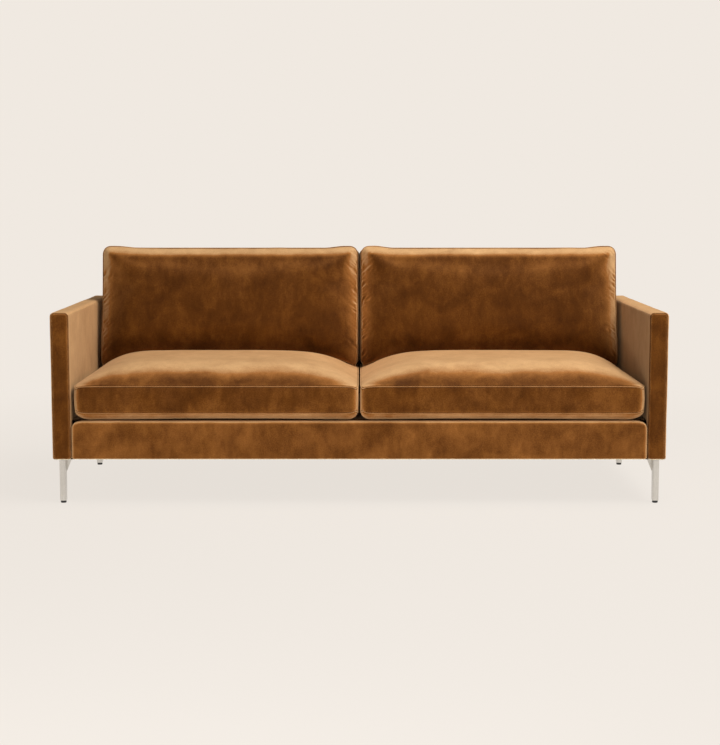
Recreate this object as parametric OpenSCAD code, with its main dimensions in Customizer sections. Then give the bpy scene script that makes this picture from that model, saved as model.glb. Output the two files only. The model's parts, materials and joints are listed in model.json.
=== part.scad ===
/* [Sofa] */
// Overall width, from outside arm to outside arm
sofa_w = 2040; // [1700:10:2400]
// Overall depth, from the front of the arms to the outside back
sofa_d = 875; // [800:5:950]
// Height of the arms and of the back frame, which are level
arm_h = 640; // [580:5:700]
// Thickness of one upholstered arm
arm_t = 62; // [58:1:100]
// Clear height under the frame
floor_gap = 151; // [120:1:190]
// Height of the seat deck above the floor
deck_z = 278; // [262:1:310]

/* [Seat cushions] */
// Height of the boxing band of a seat cushion
seat_band_h = 90; // [70:1:120]
// Rise of the crown above the top seam
seat_crown = 72; // [40:1:90]
// Depth of the belly below the bottom seam
seat_belly = 26; // [16:1:34]
// Corner radius of a seat cushion in plan
seat_corner_r = 25; // [12:1:40]
// Width of the gap between left and right cushions
centre_gap = 4; // [3:0.5:12]
// Gap between a cushion and the arm beside it
arm_gap = 13; // [8:1:25]

/* [Back cushions] */
// Slope length of a back cushion, bottom seam to top seam, on its back
back_rise = 414; // [380:2:450]
// Thickness of the boxing band of a back cushion
back_band_t = 180; // [130:1:210]
// Bulge of the front of a back cushion
back_crown = 58; // [30:1:75]
// Bulge of the rear of a back cushion, against the frame
back_belly = 24; // [12:1:34]
// Corner radius of a back cushion, seen from the front
back_corner_r = 24; // [12:1:40]
// How far the two top corners stand above the top seam
ear_h = 9; // [0:0.5:16]

/* [Seams] */
// Outward bulge of a boxing band between its two seams
band_bulge = 5; // [2:0.5:8]
// How far a cushion's sides are drawn in between its corners
side_draw = 4; // [0:0.5:8]

/* [Upholstery] */
// Thickness of the velvet with its backing
cover_t = 2; // [1.5:0.1:3]
// Thickness of the foam over the frame
pad_t = 10; // [6:0.5:14]
// Radius of the padded edges of the arms and back
edge_r = 14; // [8:0.5:18]
// Thickness of the felt on the springs
deck_pad_t = 8; // [5:0.5:12]
// Thickness of the cloth under the frame
dust_t = 1; // [0.6:0.1:2]
// Radius of the top corners of the seat border
border_corner_r = 30; // [18:1:40]

/* [Frame] */
// Thickness of the timber rails
rail_t = 28; // [22:1:34]
// Thickness of the hardboard panels
panel_t = 3; // [2:0.5:5]
// Width of an arm post, front to back
post_w = 80; // [70:1:110]
// Height of the top and bottom rails of an arm
arm_rail_h = 45; // [35:1:60]
// Thickness of the back frame at deck level
back_base_t = 132.5; // [110:0.5:160]
// Lean of the back, in degrees
back_lean = 8; // [5:0.5:11]
// Side of a glued corner block
block_w = 60; // [40:1:80]

/* [Springs] */
// Diameter of the spring wire
wire_d = 4; // [3:0.1:5]
// Width of a zigzag spring
spring_w = 52; // [44:1:60]
// Number of springs under one seat
springs_a_side = 5; // [3:1:6]
// Distance from one half loop of a spring to the next
loop_pitch = 33.5; // [32:0.5:40]

/* [Legs] */
// Width of the front blade of a leg
leg_w = 19; // [15:0.5:24]
// Depth of the side flange of a leg
leg_d = 30; // [26:0.5:36]
// Thickness of the leg steel
leg_t = 3; // [2:0.25:4]
// Outer radius of the bend between blade and flange
leg_bend_r = 6; // [4:0.5:8]
// Width of the gusset at the top of a leg
gusset_w = 19; // [10:0.5:22]
// Height of the gusset
gusset_h = 45; // [25:1:70]
// Distance of the front legs behind the front of the arms
front_leg_in = 35.5; // [30:0.5:60]
// Distance of the rear legs before the outside back
rear_leg_in = 96.5; // [80:0.5:140]
// Diameter of a glide
glide_d = 19; // [14:0.5:22]
// Height of a glide under the leg
glide_h = 8; // [5:0.5:12]

/* [Fasteners] */
// Diameter of an arm bolt
bolt_d = 8; // [6:0.5:10]
// Diameter of a leg screw
screw_d = 5; // [4:0.5:6]
// Length of a leg screw under its head
screw_l = 35; // [25:1:45]

/* [Zips] */
// Length of the zip of a seat cushion
seat_zip_l = 780; // [500:10:800]
// Length of the zip of a back cushion
back_zip_l = 640; // [400:10:700]
// Width of the zip tape
tape_w = 30; // [24:1:34]

/* [Hidden] */

velvet_colour = [0.52, 0.31, 0.12];
foam_colour = [0.93, 0.88, 0.72];
wood_colour = [0.76, 0.60, 0.40];
board_colour = [0.45, 0.31, 0.20];
steel_colour = [0.78, 0.76, 0.72];
black_colour = [0.07, 0.07, 0.07];

// Overrun of every cut, and the small gaps that the pieces share
cut = 5;
seam_gap = 0.5;
rest_gap = 0.3;
fill_gap = 0.3;

// Plan of the sofa
half_w = sofa_w / 2;
front_y = -sofa_d / 2;
rear_y = sofa_d / 2;
inner_x = half_w - arm_t;
seat_x = inner_x - seam_gap;
skin = cover_t + pad_t;
arm_mid_x = half_w - arm_t / 2;
arm_core_t = arm_t - 2 * skin - 2 * panel_t;
arm_core_h = arm_h - skin - floor_gap;

// Stack of the seat: rail, clip and spring, felt, deck cloth
spring_rise = 12;
centre_rail_drop = 21;
block_h = 50;
rail_top = deck_z - cover_t - deck_pad_t - spring_rise;

// Seat border, a little behind the front of the arms
border_in = 3.5;
border_side = 1;
border_y = front_y + border_in;
border_x = inner_x - border_side;
border_lip = 38;
border_steps = 3;
front_rail_y = border_y + skin;

// Back frame
back_timber_y = rear_y - cover_t - panel_t;
web_t = 1.5;
web_w = 50;
web_gap = 0.05;
web_shares = [0.18, 0.40, 0.62, 0.84];
upright_x_share = 0.4;

function back_front(z) = rear_y - back_base_t + (z - deck_z) * tan(back_lean);
function back_timber(z) = back_front(z) + skin + web_t;

// Springs and their clips
clip_w = 12;
clip_wall = 1.6;
clip_fit = 0.1;
wire_z = rail_top + clip_wall + wire_d / 2;
spring_rail_y = back_timber(rail_top);
spring_y0 = front_rail_y + rail_t / 2;
spring_y1 = spring_rail_y + rail_t / 2;
half_loops = 2 * round((spring_y1 - spring_y0) / loop_pitch / 2);
spring_pitch = (spring_y1 - spring_y0) / half_loops;
spring_lift = spring_rise - clip_wall - wire_d - rest_gap;
spring_bay = (seat_x - rail_t - rail_t / 2) / springs_a_side;
spring_run = spring_w - spring_pitch - wire_d;
bend_angles = [-90, -30, 30, 90];
wire_sides = 5;

// Legs
plate_t = 3;
plate_w = 50;
plate_front = 23;
plate_l = 62;
leg_front = 11;
leg_out = 2;
leg_taper = 5;
stem_d = 8;
stem_l = 14;
stem_fit = 0.05;
glide_bevel = 1;
screw_front = 15.8;
screw_rear = 31;
screw_head_d = 9;
screw_head_h = 2.5;
screw_fit = 0.05;
screw_room = 5;
leg_x = arm_mid_x + leg_out;
leg_ys = [front_y + front_leg_in, rear_y - rear_leg_in];

// Arm bolts, through the end rails and uprights into the arm posts
bolt_in = 20;
bolt_back_in = 45;
bolt_drop = 30;
bolt_high = 80;
bolt_fit = 0.25;
bolt_head_w = 13;
bolt_head_h = 5.3;
nut_d = 11;
nut_l = 12;
nut_flange_d = 22;
nut_flange_t = 1.6;
nut_fit = 0.1;
bolt_places = [
    [front_y + skin + post_w - bolt_in, rail_top - bolt_drop],
    [rear_y - skin - post_w + bolt_in, rail_top - bolt_drop],
    [rear_y - bolt_back_in, arm_h - bolt_high]
];
post_in_x = arm_mid_x - arm_core_t / 2;
post_out_x = arm_mid_x + arm_core_t / 2;

// Cushions share one width, so that their seams line up
cushion_w = inner_x - arm_gap - centre_gap / 2;
cushion_x = centre_gap / 2 + cushion_w / 2;
cushion_half = cushion_w / 2 - band_bulge;

// Seat cushion: seams, crown and the slope that the back cushion stands on
seat_bottom = deck_z + rest_gap + seat_belly;
seat_top = seat_bottom + seat_band_h;
seat_clear = 3;
seat_front = border_y + band_bulge;
seat_rear = back_front(deck_z) - seat_clear - band_bulge;
seat_half = (seat_rear - seat_front) / 2;
seat_y = (seat_rear + seat_front) / 2;
slope_share = 0.68;
slope_y = seat_front + slope_share * (seat_rear - seat_front);
roll_share = 0.41;
roll_y = seat_front + roll_share * (seat_rear - seat_front);

// Back cushion: its back bottom seam, and its foot on the slope of the seat
foot_gap = 1;
foot_z = seat_top + foot_gap;
foot_y = back_front(foot_z) - (back_belly + rest_gap) / cos(back_lean);
toe_y = foot_y - back_band_t * cos(back_lean);
toe_z = seat_line(toe_y) + foot_gap;
toe_rise = (toe_z - foot_z - back_band_t * sin(back_lean)) / cos(back_lean);
foot_tilt = atan((toe_z - foot_z) / (foot_y - toe_y));

// Foam and fibre inside the cushions
fill_in = 14;
fill_step = 70;
fill_crown = 12;
fill_corner_r = 18;

// Zips, each in a channel of its boxing band
zip_depth = 7.5;
zip_side = 1;
tape_t = 1.2;
chain_w = 6;
chain_t = 2;
slider_l = 9;
slider_w = 9;
slider_t = 4.4;
slider_fit = 0.2;
tab_l = 20;
tab_t = 1;

// Mesh of a cushion: steps across, steps along and steps up its band
mesh_across = 14;
mesh_along = 14;
mesh_up = 3;
outer_power = 9;
inner_power = 5;
crown_power = 4;
rise_power = 3;
flat_power = 8;
flat_gain = 2.2;
ear_power = 6;
draw_power = 4;

function clamped(x) = min(1, max(0, x));
function knot(i, n) = sin(90 * (2 * i / n - 1));

// Share of the crown at u from -1 at the centre of the sofa to 1 beside the arm
function edge_shape(u) = 1 - pow(abs(u), u > 0 ? outer_power : inner_power);
// Share of the crown at y: rolled over in front, level, then one straight slope to the rear seam
function seat_fall(y) =
    y < roll_y ? 1 - pow((roll_y - y) / (roll_y - seat_front), inner_power)
    : y < slope_y ? 1
    : max(0, (seat_rear - y) / (seat_rear - slope_y));
function seat_line(y) = seat_top + seat_crown * seat_fall(y);
function flat_shape(u) = min(1, flat_gain * (1 - pow(abs(u), flat_power)));

// How far a value reaches into the rounded corner, from 0 to 1
function corner_share(s, half, r) = clamped((abs(s) * half - (half - r)) / r);
// Outward direction at a point of a rounded rectangle, scaled to 1 on its edge
function corner_way(u, v, hu, hv, r) =
    let (a = corner_share(u, hu, r), b = corner_share(v, hv, r))
    [sign(u) * a * sqrt(1 - b * b / 2), sign(v) * b * sqrt(1 - a * a / 2)];
// Point of a rounded rectangle with its sides drawn in
function plan_point(u, v, hu, hv, r) =
    let (w = corner_way(u, v, hu, hv, r))
    [sign(u) * min(abs(u) * hu, hu - r) + r * w[0] - side_draw * pow(u, rise_power) * (1 - pow(v, draw_power)),
     sign(v) * min(abs(v) * hv, hv - r) + r * w[1]];

// Points and triangles of a cushion: front or top panel, back or bottom panel, and the band
function ring_length(nu, nv) = 2 * (nu + nv);
function ring_cell(k, nu, nv) =
    k < nu ? [k, 0]
    : k < nu + nv ? [nu, k - nu]
    : k < 2 * nu + nv ? [2 * nu + nv - k, nv]
    : [0, 2 * (nu + nv) - k];
function panel_count(nu, nv) = (nu + 1) * (nv + 1);
function panel_index(c, nv) = c[0] * (nv + 1) + c[1];
function band_index(q, k, nu, nv, nw) =
    let (j = k % ring_length(nu, nv), c = ring_cell(j, nu, nv))
    q == nw ? panel_index(c, nv)
    : q == 0 ? panel_count(nu, nv) + panel_index(c, nv)
    : 2 * panel_count(nu, nv) + (q - 1) * ring_length(nu, nv) + j;
function panel_faces(nu, nv, start, flip) = [
    for (i = [0 : nu - 1], j = [0 : nv - 1], half = [0, 1])
    let (a = start + panel_index([i, j], nv), b = start + panel_index([i, j + 1], nv),
         c = start + panel_index([i + 1, j + 1], nv), d = start + panel_index([i + 1, j], nv))
    half == 0 ? (flip ? [a, c, b] : [a, b, c]) : (flip ? [a, d, c] : [a, c, d])
];
function band_faces(nu, nv, nw) = [
    for (q = [0 : nw - 1], k = [0 : ring_length(nu, nv) - 1], half = [0, 1])
    let (a = band_index(q, k, nu, nv, nw), b = band_index(q + 1, k, nu, nv, nw),
         c = band_index(q + 1, k + 1, nu, nv, nw), d = band_index(q, k + 1, nu, nv, nw))
    half == 0 ? [a, b, c] : [a, c, d]
];
function cushion_faces(nu, nv, nw) = concat(
    panel_faces(nu, nv, 0, false),
    panel_faces(nu, nv, panel_count(nu, nv), true),
    band_faces(nu, nv, nw)
);

// A point of the right seat cushion at u across, v along and w up its band
function seat_point(u, v, w, bulge) =
    let (p = plan_point(u, v, cushion_half, seat_half, seat_corner_r),
         n = corner_way(u, v, cushion_half, seat_half, seat_corner_r),
         draw = side_draw * (v < 0 ? pow(v, draw_power) * (1 - pow(u, draw_power)) : 0))
    [cushion_x + p[0] + bulge * n[0], seat_y + p[1] + bulge * n[1] + draw, w];
function seat_points() = concat(
    [for (i = [0 : mesh_across], j = [0 : mesh_along])
        let (u = knot(i, mesh_across), v = knot(j, mesh_along))
        seat_point(u, v, seat_top + seat_crown * edge_shape(u) * seat_fall(seat_y + v * seat_half), 0)],
    [for (i = [0 : mesh_across], j = [0 : mesh_along])
        let (u = knot(i, mesh_across), v = knot(j, mesh_along))
        seat_point(u, v, seat_bottom - seat_belly * flat_shape(u) * flat_shape(v), 0)],
    [for (q = [1 : mesh_up - 1], k = [0 : ring_length(mesh_across, mesh_along) - 1])
        let (c = ring_cell(k, mesh_across, mesh_along), w = 2 * q / mesh_up - 1)
        seat_point(knot(c[0], mesh_across), knot(c[1], mesh_along),
            seat_bottom + seat_band_h * q / mesh_up, band_bulge * (1 - w * w))]
);

// A point of the right back cushion at u across, v up and t from its back seam to its front seam
function back_point(u, v, t, out, bulge) =
    let (low = toe_rise * t,
         half = (back_rise - low) / 2,
         p = plan_point(u, v, cushion_half, half, back_corner_r),
         n = corner_way(u, v, cushion_half, half, back_corner_r),
         ear = ear_h * pow(abs(u), ear_power) * pow(max(v, 0), rise_power),
         side = cushion_x + p[0] + bulge * n[0],
         up = low + half + p[1] + ear + bulge * max(n[1], 0),
         deep = out - back_band_t * t)
    [side, foot_y + up * sin(back_lean) + deep * cos(back_lean),
     foot_z + up * cos(back_lean) - deep * sin(back_lean)];
function back_points() = concat(
    [for (i = [0 : mesh_across], j = [0 : mesh_along])
        let (u = knot(i, mesh_across), v = knot(j, mesh_along),
             crown = (1 - pow(abs(u), crown_power)) * (1 - pow(abs(v), rise_power)))
        back_point(u, v, 1, -back_crown * crown, 0)],
    [for (i = [0 : mesh_across], j = [0 : mesh_along])
        let (u = knot(i, mesh_across), v = knot(j, mesh_along))
        back_point(u, v, 0, back_belly * flat_shape(u) * flat_shape(v), 0)],
    [for (q = [1 : mesh_up - 1], k = [0 : ring_length(mesh_across, mesh_along) - 1])
        let (c = ring_cell(k, mesh_across, mesh_along), w = 2 * q / mesh_up - 1)
        back_point(knot(c[0], mesh_across), knot(c[1], mesh_along), q / mesh_up, 0,
            band_bulge * (1 - w * w))]
);

// Draws its children on the right side, or mirrored on the left
module on_side(side) {
    if (side > 0) children();
    else mirror([1, 0, 0]) children();
}

// A board between two corners
module board(low, high) {
    translate(low) cube(high - low);
}

// A flat rounded rectangle with true corners
module round_rect(w, d, r) {
    square([w - 2 * r, d], center = true);
    square([w, d - 2 * r], center = true);
    for (x = [-1, 1], y = [-1, 1])
        translate([x * (w / 2 - r), y * (d / 2 - r)]) circle(r, $fn = 32);
}

// A solid with a given outline seen from the side, drawn in y and z, across x0 to x1
module across(x0, x1) {
    translate([x0, 0, 0]) rotate([90, 0, 90]) linear_extrude(x1 - x0) children();
}

// Bores for the bolts and screws of the right side
module bolt_bores(d) {
    for (p = bolt_places)
        translate([seat_x - rail_t - cut, p[0], p[1]]) rotate([0, 90, 0])
            cylinder(d = d, h = post_out_x - seat_x + rail_t + cut, $fn = 32);
}

module nut_bores() {
    for (p = bolt_places) {
        translate([post_out_x - nut_l, p[0], p[1]]) rotate([0, 90, 0])
            cylinder(d = nut_d, h = nut_l + cut, $fn = 32);
        translate([post_out_x - nut_flange_t, p[0], p[1]]) rotate([0, 90, 0])
            cylinder(d = nut_flange_d, h = nut_flange_t + cut, $fn = 32);
    }
}

module screw_bores() {
    for (y = leg_ys, s = [-screw_front, screw_rear])
        translate([arm_mid_x, y + s, floor_gap - plate_t - cut])
            cylinder(d = screw_d + 2 * screw_fit, h = screw_l + screw_room + cut, $fn = 24);
}

// Seat frame
module seat_front_rail() {
    color(wood_colour)
        board([skin - border_x, front_rail_y, floor_gap], [border_x - skin, front_rail_y + rail_t, rail_top]);
}

module seat_spring_rail() {
    color(wood_colour)
        board([rail_t - seat_x, spring_rail_y, floor_gap],
            [seat_x - rail_t, spring_rail_y + rail_t, rail_top]);
}

module side_rail(side) {
    color(wood_colour) on_side(side) difference() {
        board([seat_x - rail_t, front_rail_y + rail_t, floor_gap], [seat_x, back_timber_y - rail_t, rail_top]);
        bolt_bores(bolt_d + 2 * bolt_fit);
    }
}

module seat_centre_rail() {
    color(wood_colour)
        board([-rail_t / 2, front_rail_y + rail_t, floor_gap],
            [rail_t / 2, spring_rail_y, rail_top - centre_rail_drop]);
}

module seat_corner_blocks() {
    color(wood_colour) for (side = [-1, 1]) on_side(side) {
        translate([seat_x - rail_t, front_rail_y + rail_t, floor_gap]) linear_extrude(block_h)
            polygon([[0, 0], [-block_w, 0], [0, block_w]]);
        translate([seat_x - rail_t, spring_rail_y, floor_gap]) linear_extrude(block_h)
            polygon([[0, 0], [0, -block_w], [-block_w, 0]]);
    }
}

// Arm frames
module arm_post(side, y0) {
    color(wood_colour) on_side(side) difference() {
        board([post_in_x, y0, floor_gap], [post_out_x, y0 + post_w, floor_gap + arm_core_h]);
        bolt_bores(bolt_d + 2 * bolt_fit);
        nut_bores();
        screw_bores();
    }
}

module arm_rails(side) {
    y1 = rear_y - skin - post_w;
    color(wood_colour) on_side(side) difference() {
        for (z = [floor_gap, floor_gap + arm_core_h - arm_rail_h])
            board([post_in_x, -y1, z], [post_out_x, y1, z + arm_rail_h]);
        screw_bores();
    }
}

module arm_panels(side) {
    y1 = rear_y - skin;
    color(board_colour) on_side(side) difference() {
        for (x = [post_in_x - panel_t, post_out_x])
            board([x, -y1, floor_gap], [x + panel_t, y1, floor_gap + arm_core_h]);
        bolt_bores(bolt_d + 2 * bolt_fit);
    }
}

// Outside of an arm, drawn in by a given depth, open below by a given drop
module arm_form(inset, r, drop) {
    x = arm_t / 2 - inset - r;
    y = sofa_d / 2 - inset - r;
    translate([arm_mid_x, 0, 0]) hull()
        for (i = [-1, 1], j = [-1, 1]) {
            translate([i * x, j * y, arm_h - inset - r]) sphere(r, $fn = 20);
            translate([i * x, j * y, floor_gap - drop]) cylinder(r = r, h = drop + cut, $fn = 20);
        }
}

module arm_pad(side) {
    y1 = rear_y - skin;
    color(foam_colour) on_side(side) difference() {
        arm_form(cover_t, edge_r - cover_t, 0);
        board([post_in_x - panel_t, -y1, floor_gap - cut],
            [post_out_x + panel_t, y1, floor_gap + arm_core_h]);
        bolt_bores(bolt_d + 2 * bolt_fit);
    }
}

module arm_cover(side) {
    color(velvet_colour) on_side(side) difference() {
        arm_form(0, edge_r, 0);
        arm_form(cover_t, edge_r - cover_t, cut);
        bolt_bores(bolt_d + 2 * bolt_fit);
    }
}

// Back frame
module back_bottom_rail() {
    color(wood_colour)
        board([-seat_x, back_timber_y - rail_t, floor_gap], [seat_x, back_timber_y, rail_top]);
}

module back_top_rail() {
    z1 = arm_h - skin;
    z0 = z1 - rail_t;
    color(wood_colour) across(-seat_x, seat_x)
        polygon([[back_timber(z0), z0], [back_timber_y, z0], [back_timber_y, z1], [back_timber(z1), z1]]);
}

module back_uprights() {
    z1 = arm_h - skin - rail_t;
    x1 = seat_x - rail_t / 2;
    color(wood_colour) difference() {
        for (x = [-x1, -upright_x_share * x1, 0, upright_x_share * x1, x1])
            across(x - rail_t / 2, x + rail_t / 2)
                polygon([[back_timber(rail_top), rail_top], [back_timber_y, rail_top],
                    [back_timber_y, z1], [back_timber(z1), z1]]);
        for (side = [-1, 1]) on_side(side) bolt_bores(bolt_d + 2 * bolt_fit);
    }
}

module back_panel() {
    color(board_colour)
        board([-seat_x, back_timber_y, floor_gap], [seat_x, back_timber_y + panel_t, arm_h - edge_r]);
}

module back_webbing() {
    color(black_colour) for (s = web_shares) {
        z0 = deck_z + s * (arm_h - skin - deck_z) - web_w / 2;
        z1 = z0 + web_w;
        across(-seat_x, seat_x)
            polygon([[back_front(z0) + skin + web_gap, z0], [back_timber(z0) - web_gap, z0],
                [back_timber(z1) - web_gap, z1], [back_front(z1) + skin + web_gap, z1]]);
    }
}

// Outline of the back seen from the side, drawn in by a given depth
module back_outline(front_in, top_in, rear_in, r, drop) {
    top = arm_h - top_in;
    low = deck_z + seam_gap - drop;
    hull() {
        translate([back_front(top - r) + front_in + r / cos(back_lean), top - r]) circle(r, $fn = 24);
        translate([rear_y - rear_in - r, top - r]) circle(r, $fn = 24);
        polygon([[back_front(low) + front_in, low], [rear_y - rear_in, floor_gap - drop],
            [rear_y - rear_in, top - r]]);
    }
}

// What the deck keeps clear under the front of the back
module deck_notch() {
    board([-half_w, back_front(deck_z) - cut, floor_gap], [half_w, back_timber(deck_z), deck_z + seam_gap]);
}

module back_pad() {
    z1 = arm_h - skin;
    color(foam_colour) difference() {
        across(-seat_x, seat_x) back_outline(cover_t, cover_t, cover_t, edge_r - cover_t, cut);
        across(-seat_x - cut, seat_x + cut)
            polygon([[back_front(z1) + skin, z1], [rear_y, z1], [rear_y, floor_gap - cut],
                [back_front(floor_gap - cut) + skin, floor_gap - cut]]);
        deck_notch();
    }
}

module back_frame_cover() {
    color(velvet_colour) difference() {
        across(-seat_x, seat_x) back_outline(0, 0, 0, edge_r, 0);
        across(-seat_x - cut, seat_x + cut)
            back_outline(cover_t, cover_t, cover_t, edge_r - cover_t, cut);
        deck_notch();
    }
}

// One zigzag spring: straight runs joined by half loops, bowed up in the middle
function spring_z(s) = wire_z + spring_lift * (1 - pow(2 * s / half_loops - 1, 2));

// Stations along the wire, each a centre and a level outward direction
function spring_stations() = concat(
    [[[-spring_run / 2, 0, spring_z(0)], [0, -1, 0]]],
    [for (i = [0 : half_loops], a = i < half_loops ? bend_angles : [bend_angles[0]])
        let (side = i % 2 == 0 ? 1 : -1, r = spring_pitch / 2)
        [[side * (spring_run / 2 + r * cos(a)), i * spring_pitch + r * (1 + sin(a)),
            spring_z(i + (1 + sin(a)) / 2)],
         [cos(a), side * sin(a), 0]]]
);

// A tube swept along stations, closed at both ends
module swept_tube(stations, r, sides) {
    n = len(stations);
    points = [for (p = stations, k = [0 : sides - 1])
        p[0] + r * (cos(360 * k / sides) * p[1] + [0, 0, sin(360 * k / sides)])];
    walls = [for (i = [0 : n - 2], k = [0 : sides - 1], half = [0, 1])
        let (a = i * sides + k, b = i * sides + (k + 1) % sides)
        half == 0 ? [a, b, b + sides] : [a, b + sides, a + sides]];
    ends = [for (k = [1 : sides - 2], last = [0, 1])
        let (e = (n - 1) * sides)
        last == 1 ? [e, e + k, e + k + 1] : [0, k + 1, k]];
    polyhedron(points, concat(walls, ends));
}

module seat_springs(side) {
    stations = spring_stations();
    color(steel_colour) on_side(side)
        for (i = [0 : springs_a_side - 1])
            translate([rail_t / 2 + (i + 0.5) * spring_bay, spring_y0, 0])
                swept_tube(stations, wire_d / 2, wire_sides);
}

module spring_clips() {
    clip_h = 2 * clip_wall + wire_d;
    clip_d = wire_d + 2 * clip_wall;
    color(steel_colour) for (side = [-1, 1]) on_side(side)
        for (i = [0 : springs_a_side - 1], y = [spring_y0, spring_y1])
            translate([rail_t / 2 + (i + 0.5) * spring_bay, y, 0]) difference() {
                board([-clip_w / 2, -clip_d / 2, rail_top], [clip_w / 2, clip_d / 2, rail_top + clip_h]);
                translate([-clip_w / 2 - cut, 0, wire_z]) rotate([0, 90, 0])
                    cylinder(d = wire_d + 2 * clip_fit, h = clip_w + 2 * cut, $fn = 24);
            }
}

// Deck and seat border
module deck_layer(z0, z1) {
    board([-seat_x, border_y + border_lip, z0], [seat_x, back_timber(rail_top) - web_t, z1]);
}

module deck_pad() {
    color(foam_colour) deck_layer(deck_z - cover_t - deck_pad_t, deck_z - cover_t);
}

module deck_cover() {
    color(velvet_colour) deck_layer(deck_z - cover_t, deck_z);
}

// Outside of the seat border, drawn in by a given depth, its front edge rounded in steps
module border_form(inset, drop) {
    r = border_corner_r - inset;
    e = edge_r - inset;
    x = border_x - inset;
    back = border_lip - inset + drop;
    hull() for (k = [0 : border_steps]) {
        y_in = e * (1 - sin(90 * k / border_steps));
        r_in = e * (1 - cos(90 * k / border_steps));
        for (i = [-1, 1])
            translate([i * (x - r), border_y + inset + y_in, deck_z - inset - r]) rotate([-90, 0, 0])
                cylinder(r = r - r_in, h = back - y_in, $fn = 32);
        board([r_in - x, border_y + inset + y_in, floor_gap - drop],
            [x - r_in, border_y + inset + back, floor_gap + r]);
    }
}

module border_pad() {
    rail_room = rail_top + 2 * clip_wall + wire_d + seam_gap;
    color(foam_colour) difference() {
        border_form(cover_t, 0);
        board([-half_w, front_rail_y, floor_gap - cut], [half_w, border_y + border_lip + cut, rail_room]);
    }
}

module border_cover() {
    color(velvet_colour) difference() {
        border_form(0, 0);
        border_form(cover_t, cut);
    }
}

module dust_cover() {
    x = half_w - skin;
    color(black_colour) difference() {
        board([-x, front_rail_y, floor_gap - dust_t], [x, back_timber_y, floor_gap]);
        for (side = [-1, 1], y = leg_ys) on_side(side)
            board([arm_mid_x - plate_w / 2 - seam_gap, y - plate_front - seam_gap, floor_gap - cut],
                [half_w, y - plate_front + plate_l + seam_gap, floor_gap + cut]);
    }
}

// Legs: a bent blade and flange under a mounting plate, with a gusset and a foot plate
module leg_section() {
    translate([leg_bend_r, 0]) square([leg_w - leg_bend_r, leg_t]);
    translate([0, leg_bend_r]) square([leg_t, leg_d - leg_bend_r]);
    intersection() {
        translate([leg_bend_r, leg_bend_r]) difference() {
            circle(leg_bend_r, $fn = 48);
            circle(leg_bend_r - leg_t, $fn = 48);
        }
        square([leg_bend_r, leg_bend_r]);
    }
}

module leg(side, y) {
    low = glide_h;
    top = floor_gap - plate_t;
    color(steel_colour) on_side(side) difference() {
        union() {
            translate([leg_x - leg_w / 2, y - leg_front, low]) linear_extrude(top - low) leg_section();
            translate([leg_x - leg_w / 2, y - leg_front + leg_t / 2, low])
                cube([leg_w, leg_d - leg_taper - leg_t / 2, leg_t]);
            board([arm_mid_x - plate_w / 2, y - plate_front, top],
                [arm_mid_x + plate_w / 2, y - plate_front + plate_l, floor_gap]);
            translate([leg_x - leg_w / 2 + leg_t / 2, y - leg_front + leg_d, top]) rotate([90, 0, 0])
                linear_extrude(leg_t)
                    polygon([[0, 0], [-gusset_w - leg_t / 2, 0], [-leg_t / 2, -gusset_h], [0, -gusset_h]]);
        }
        translate([leg_x - leg_w, y - leg_front + leg_d, low - cut]) rotate([90, 0, 90])
            linear_extrude(2 * leg_w)
                polygon([[-leg_taper, 0], [cut, 0], [cut, top - low], [0, top - low - gusset_h]]);
        translate([leg_x, y, low - cut]) cylinder(d = stem_d + 2 * stem_fit, h = leg_t + 2 * cut, $fn = 32);
        for (s = [-screw_front, screw_rear])
            translate([arm_mid_x, y + s, top - cut])
                cylinder(d = screw_d + 2 * screw_fit, h = plate_t + 2 * cut, $fn = 24);
    }
}

module leg_glides() {
    color(black_colour) for (side = [-1, 1], y = leg_ys) on_side(side) translate([leg_x, y, 0])
        rotate_extrude($fn = 48) polygon([
            [0, 0], [glide_d / 2 - glide_bevel, 0], [glide_d / 2, glide_bevel], [glide_d / 2, glide_h],
            [stem_d / 2, glide_h], [stem_d / 2, stem_l], [0, stem_l]
        ]);
}

module leg_screws() {
    top = floor_gap - plate_t;
    color(steel_colour) for (side = [-1, 1], y = leg_ys, s = [-screw_front, screw_rear])
        on_side(side) translate([arm_mid_x, y + s, top]) {
            translate([0, 0, -screw_head_h]) cylinder(d = screw_head_d, h = screw_head_h, $fn = 32);
            cylinder(d = screw_d, h = screw_l, $fn = 24);
        }
}

module arm_bolts() {
    head_x = seat_x - rail_t;
    color(steel_colour) for (side = [-1, 1], p = bolt_places)
        on_side(side) translate([head_x, p[0], p[1]]) rotate([0, 90, 0]) {
            translate([0, 0, -bolt_head_h])
                cylinder(d = bolt_head_w / cos(30), h = bolt_head_h, $fn = 6);
            cylinder(d = bolt_d, h = post_out_x - nut_flange_t - head_x, $fn = 32);
        }
}

module arm_tee_nuts() {
    color(steel_colour) for (side = [-1, 1], p = bolt_places)
        on_side(side) translate([post_out_x, p[0], p[1]]) rotate([0, -90, 0]) difference() {
            union() {
                cylinder(d = nut_flange_d - 2 * nut_fit, h = nut_flange_t, $fn = 32);
                cylinder(d = nut_d - 2 * nut_fit, h = nut_l, $fn = 32);
            }
            translate([0, 0, -cut])
                cylinder(d = bolt_d + 2 * bolt_fit, h = nut_l + 2 * cut, $fn = 32);
        }
}

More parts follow.
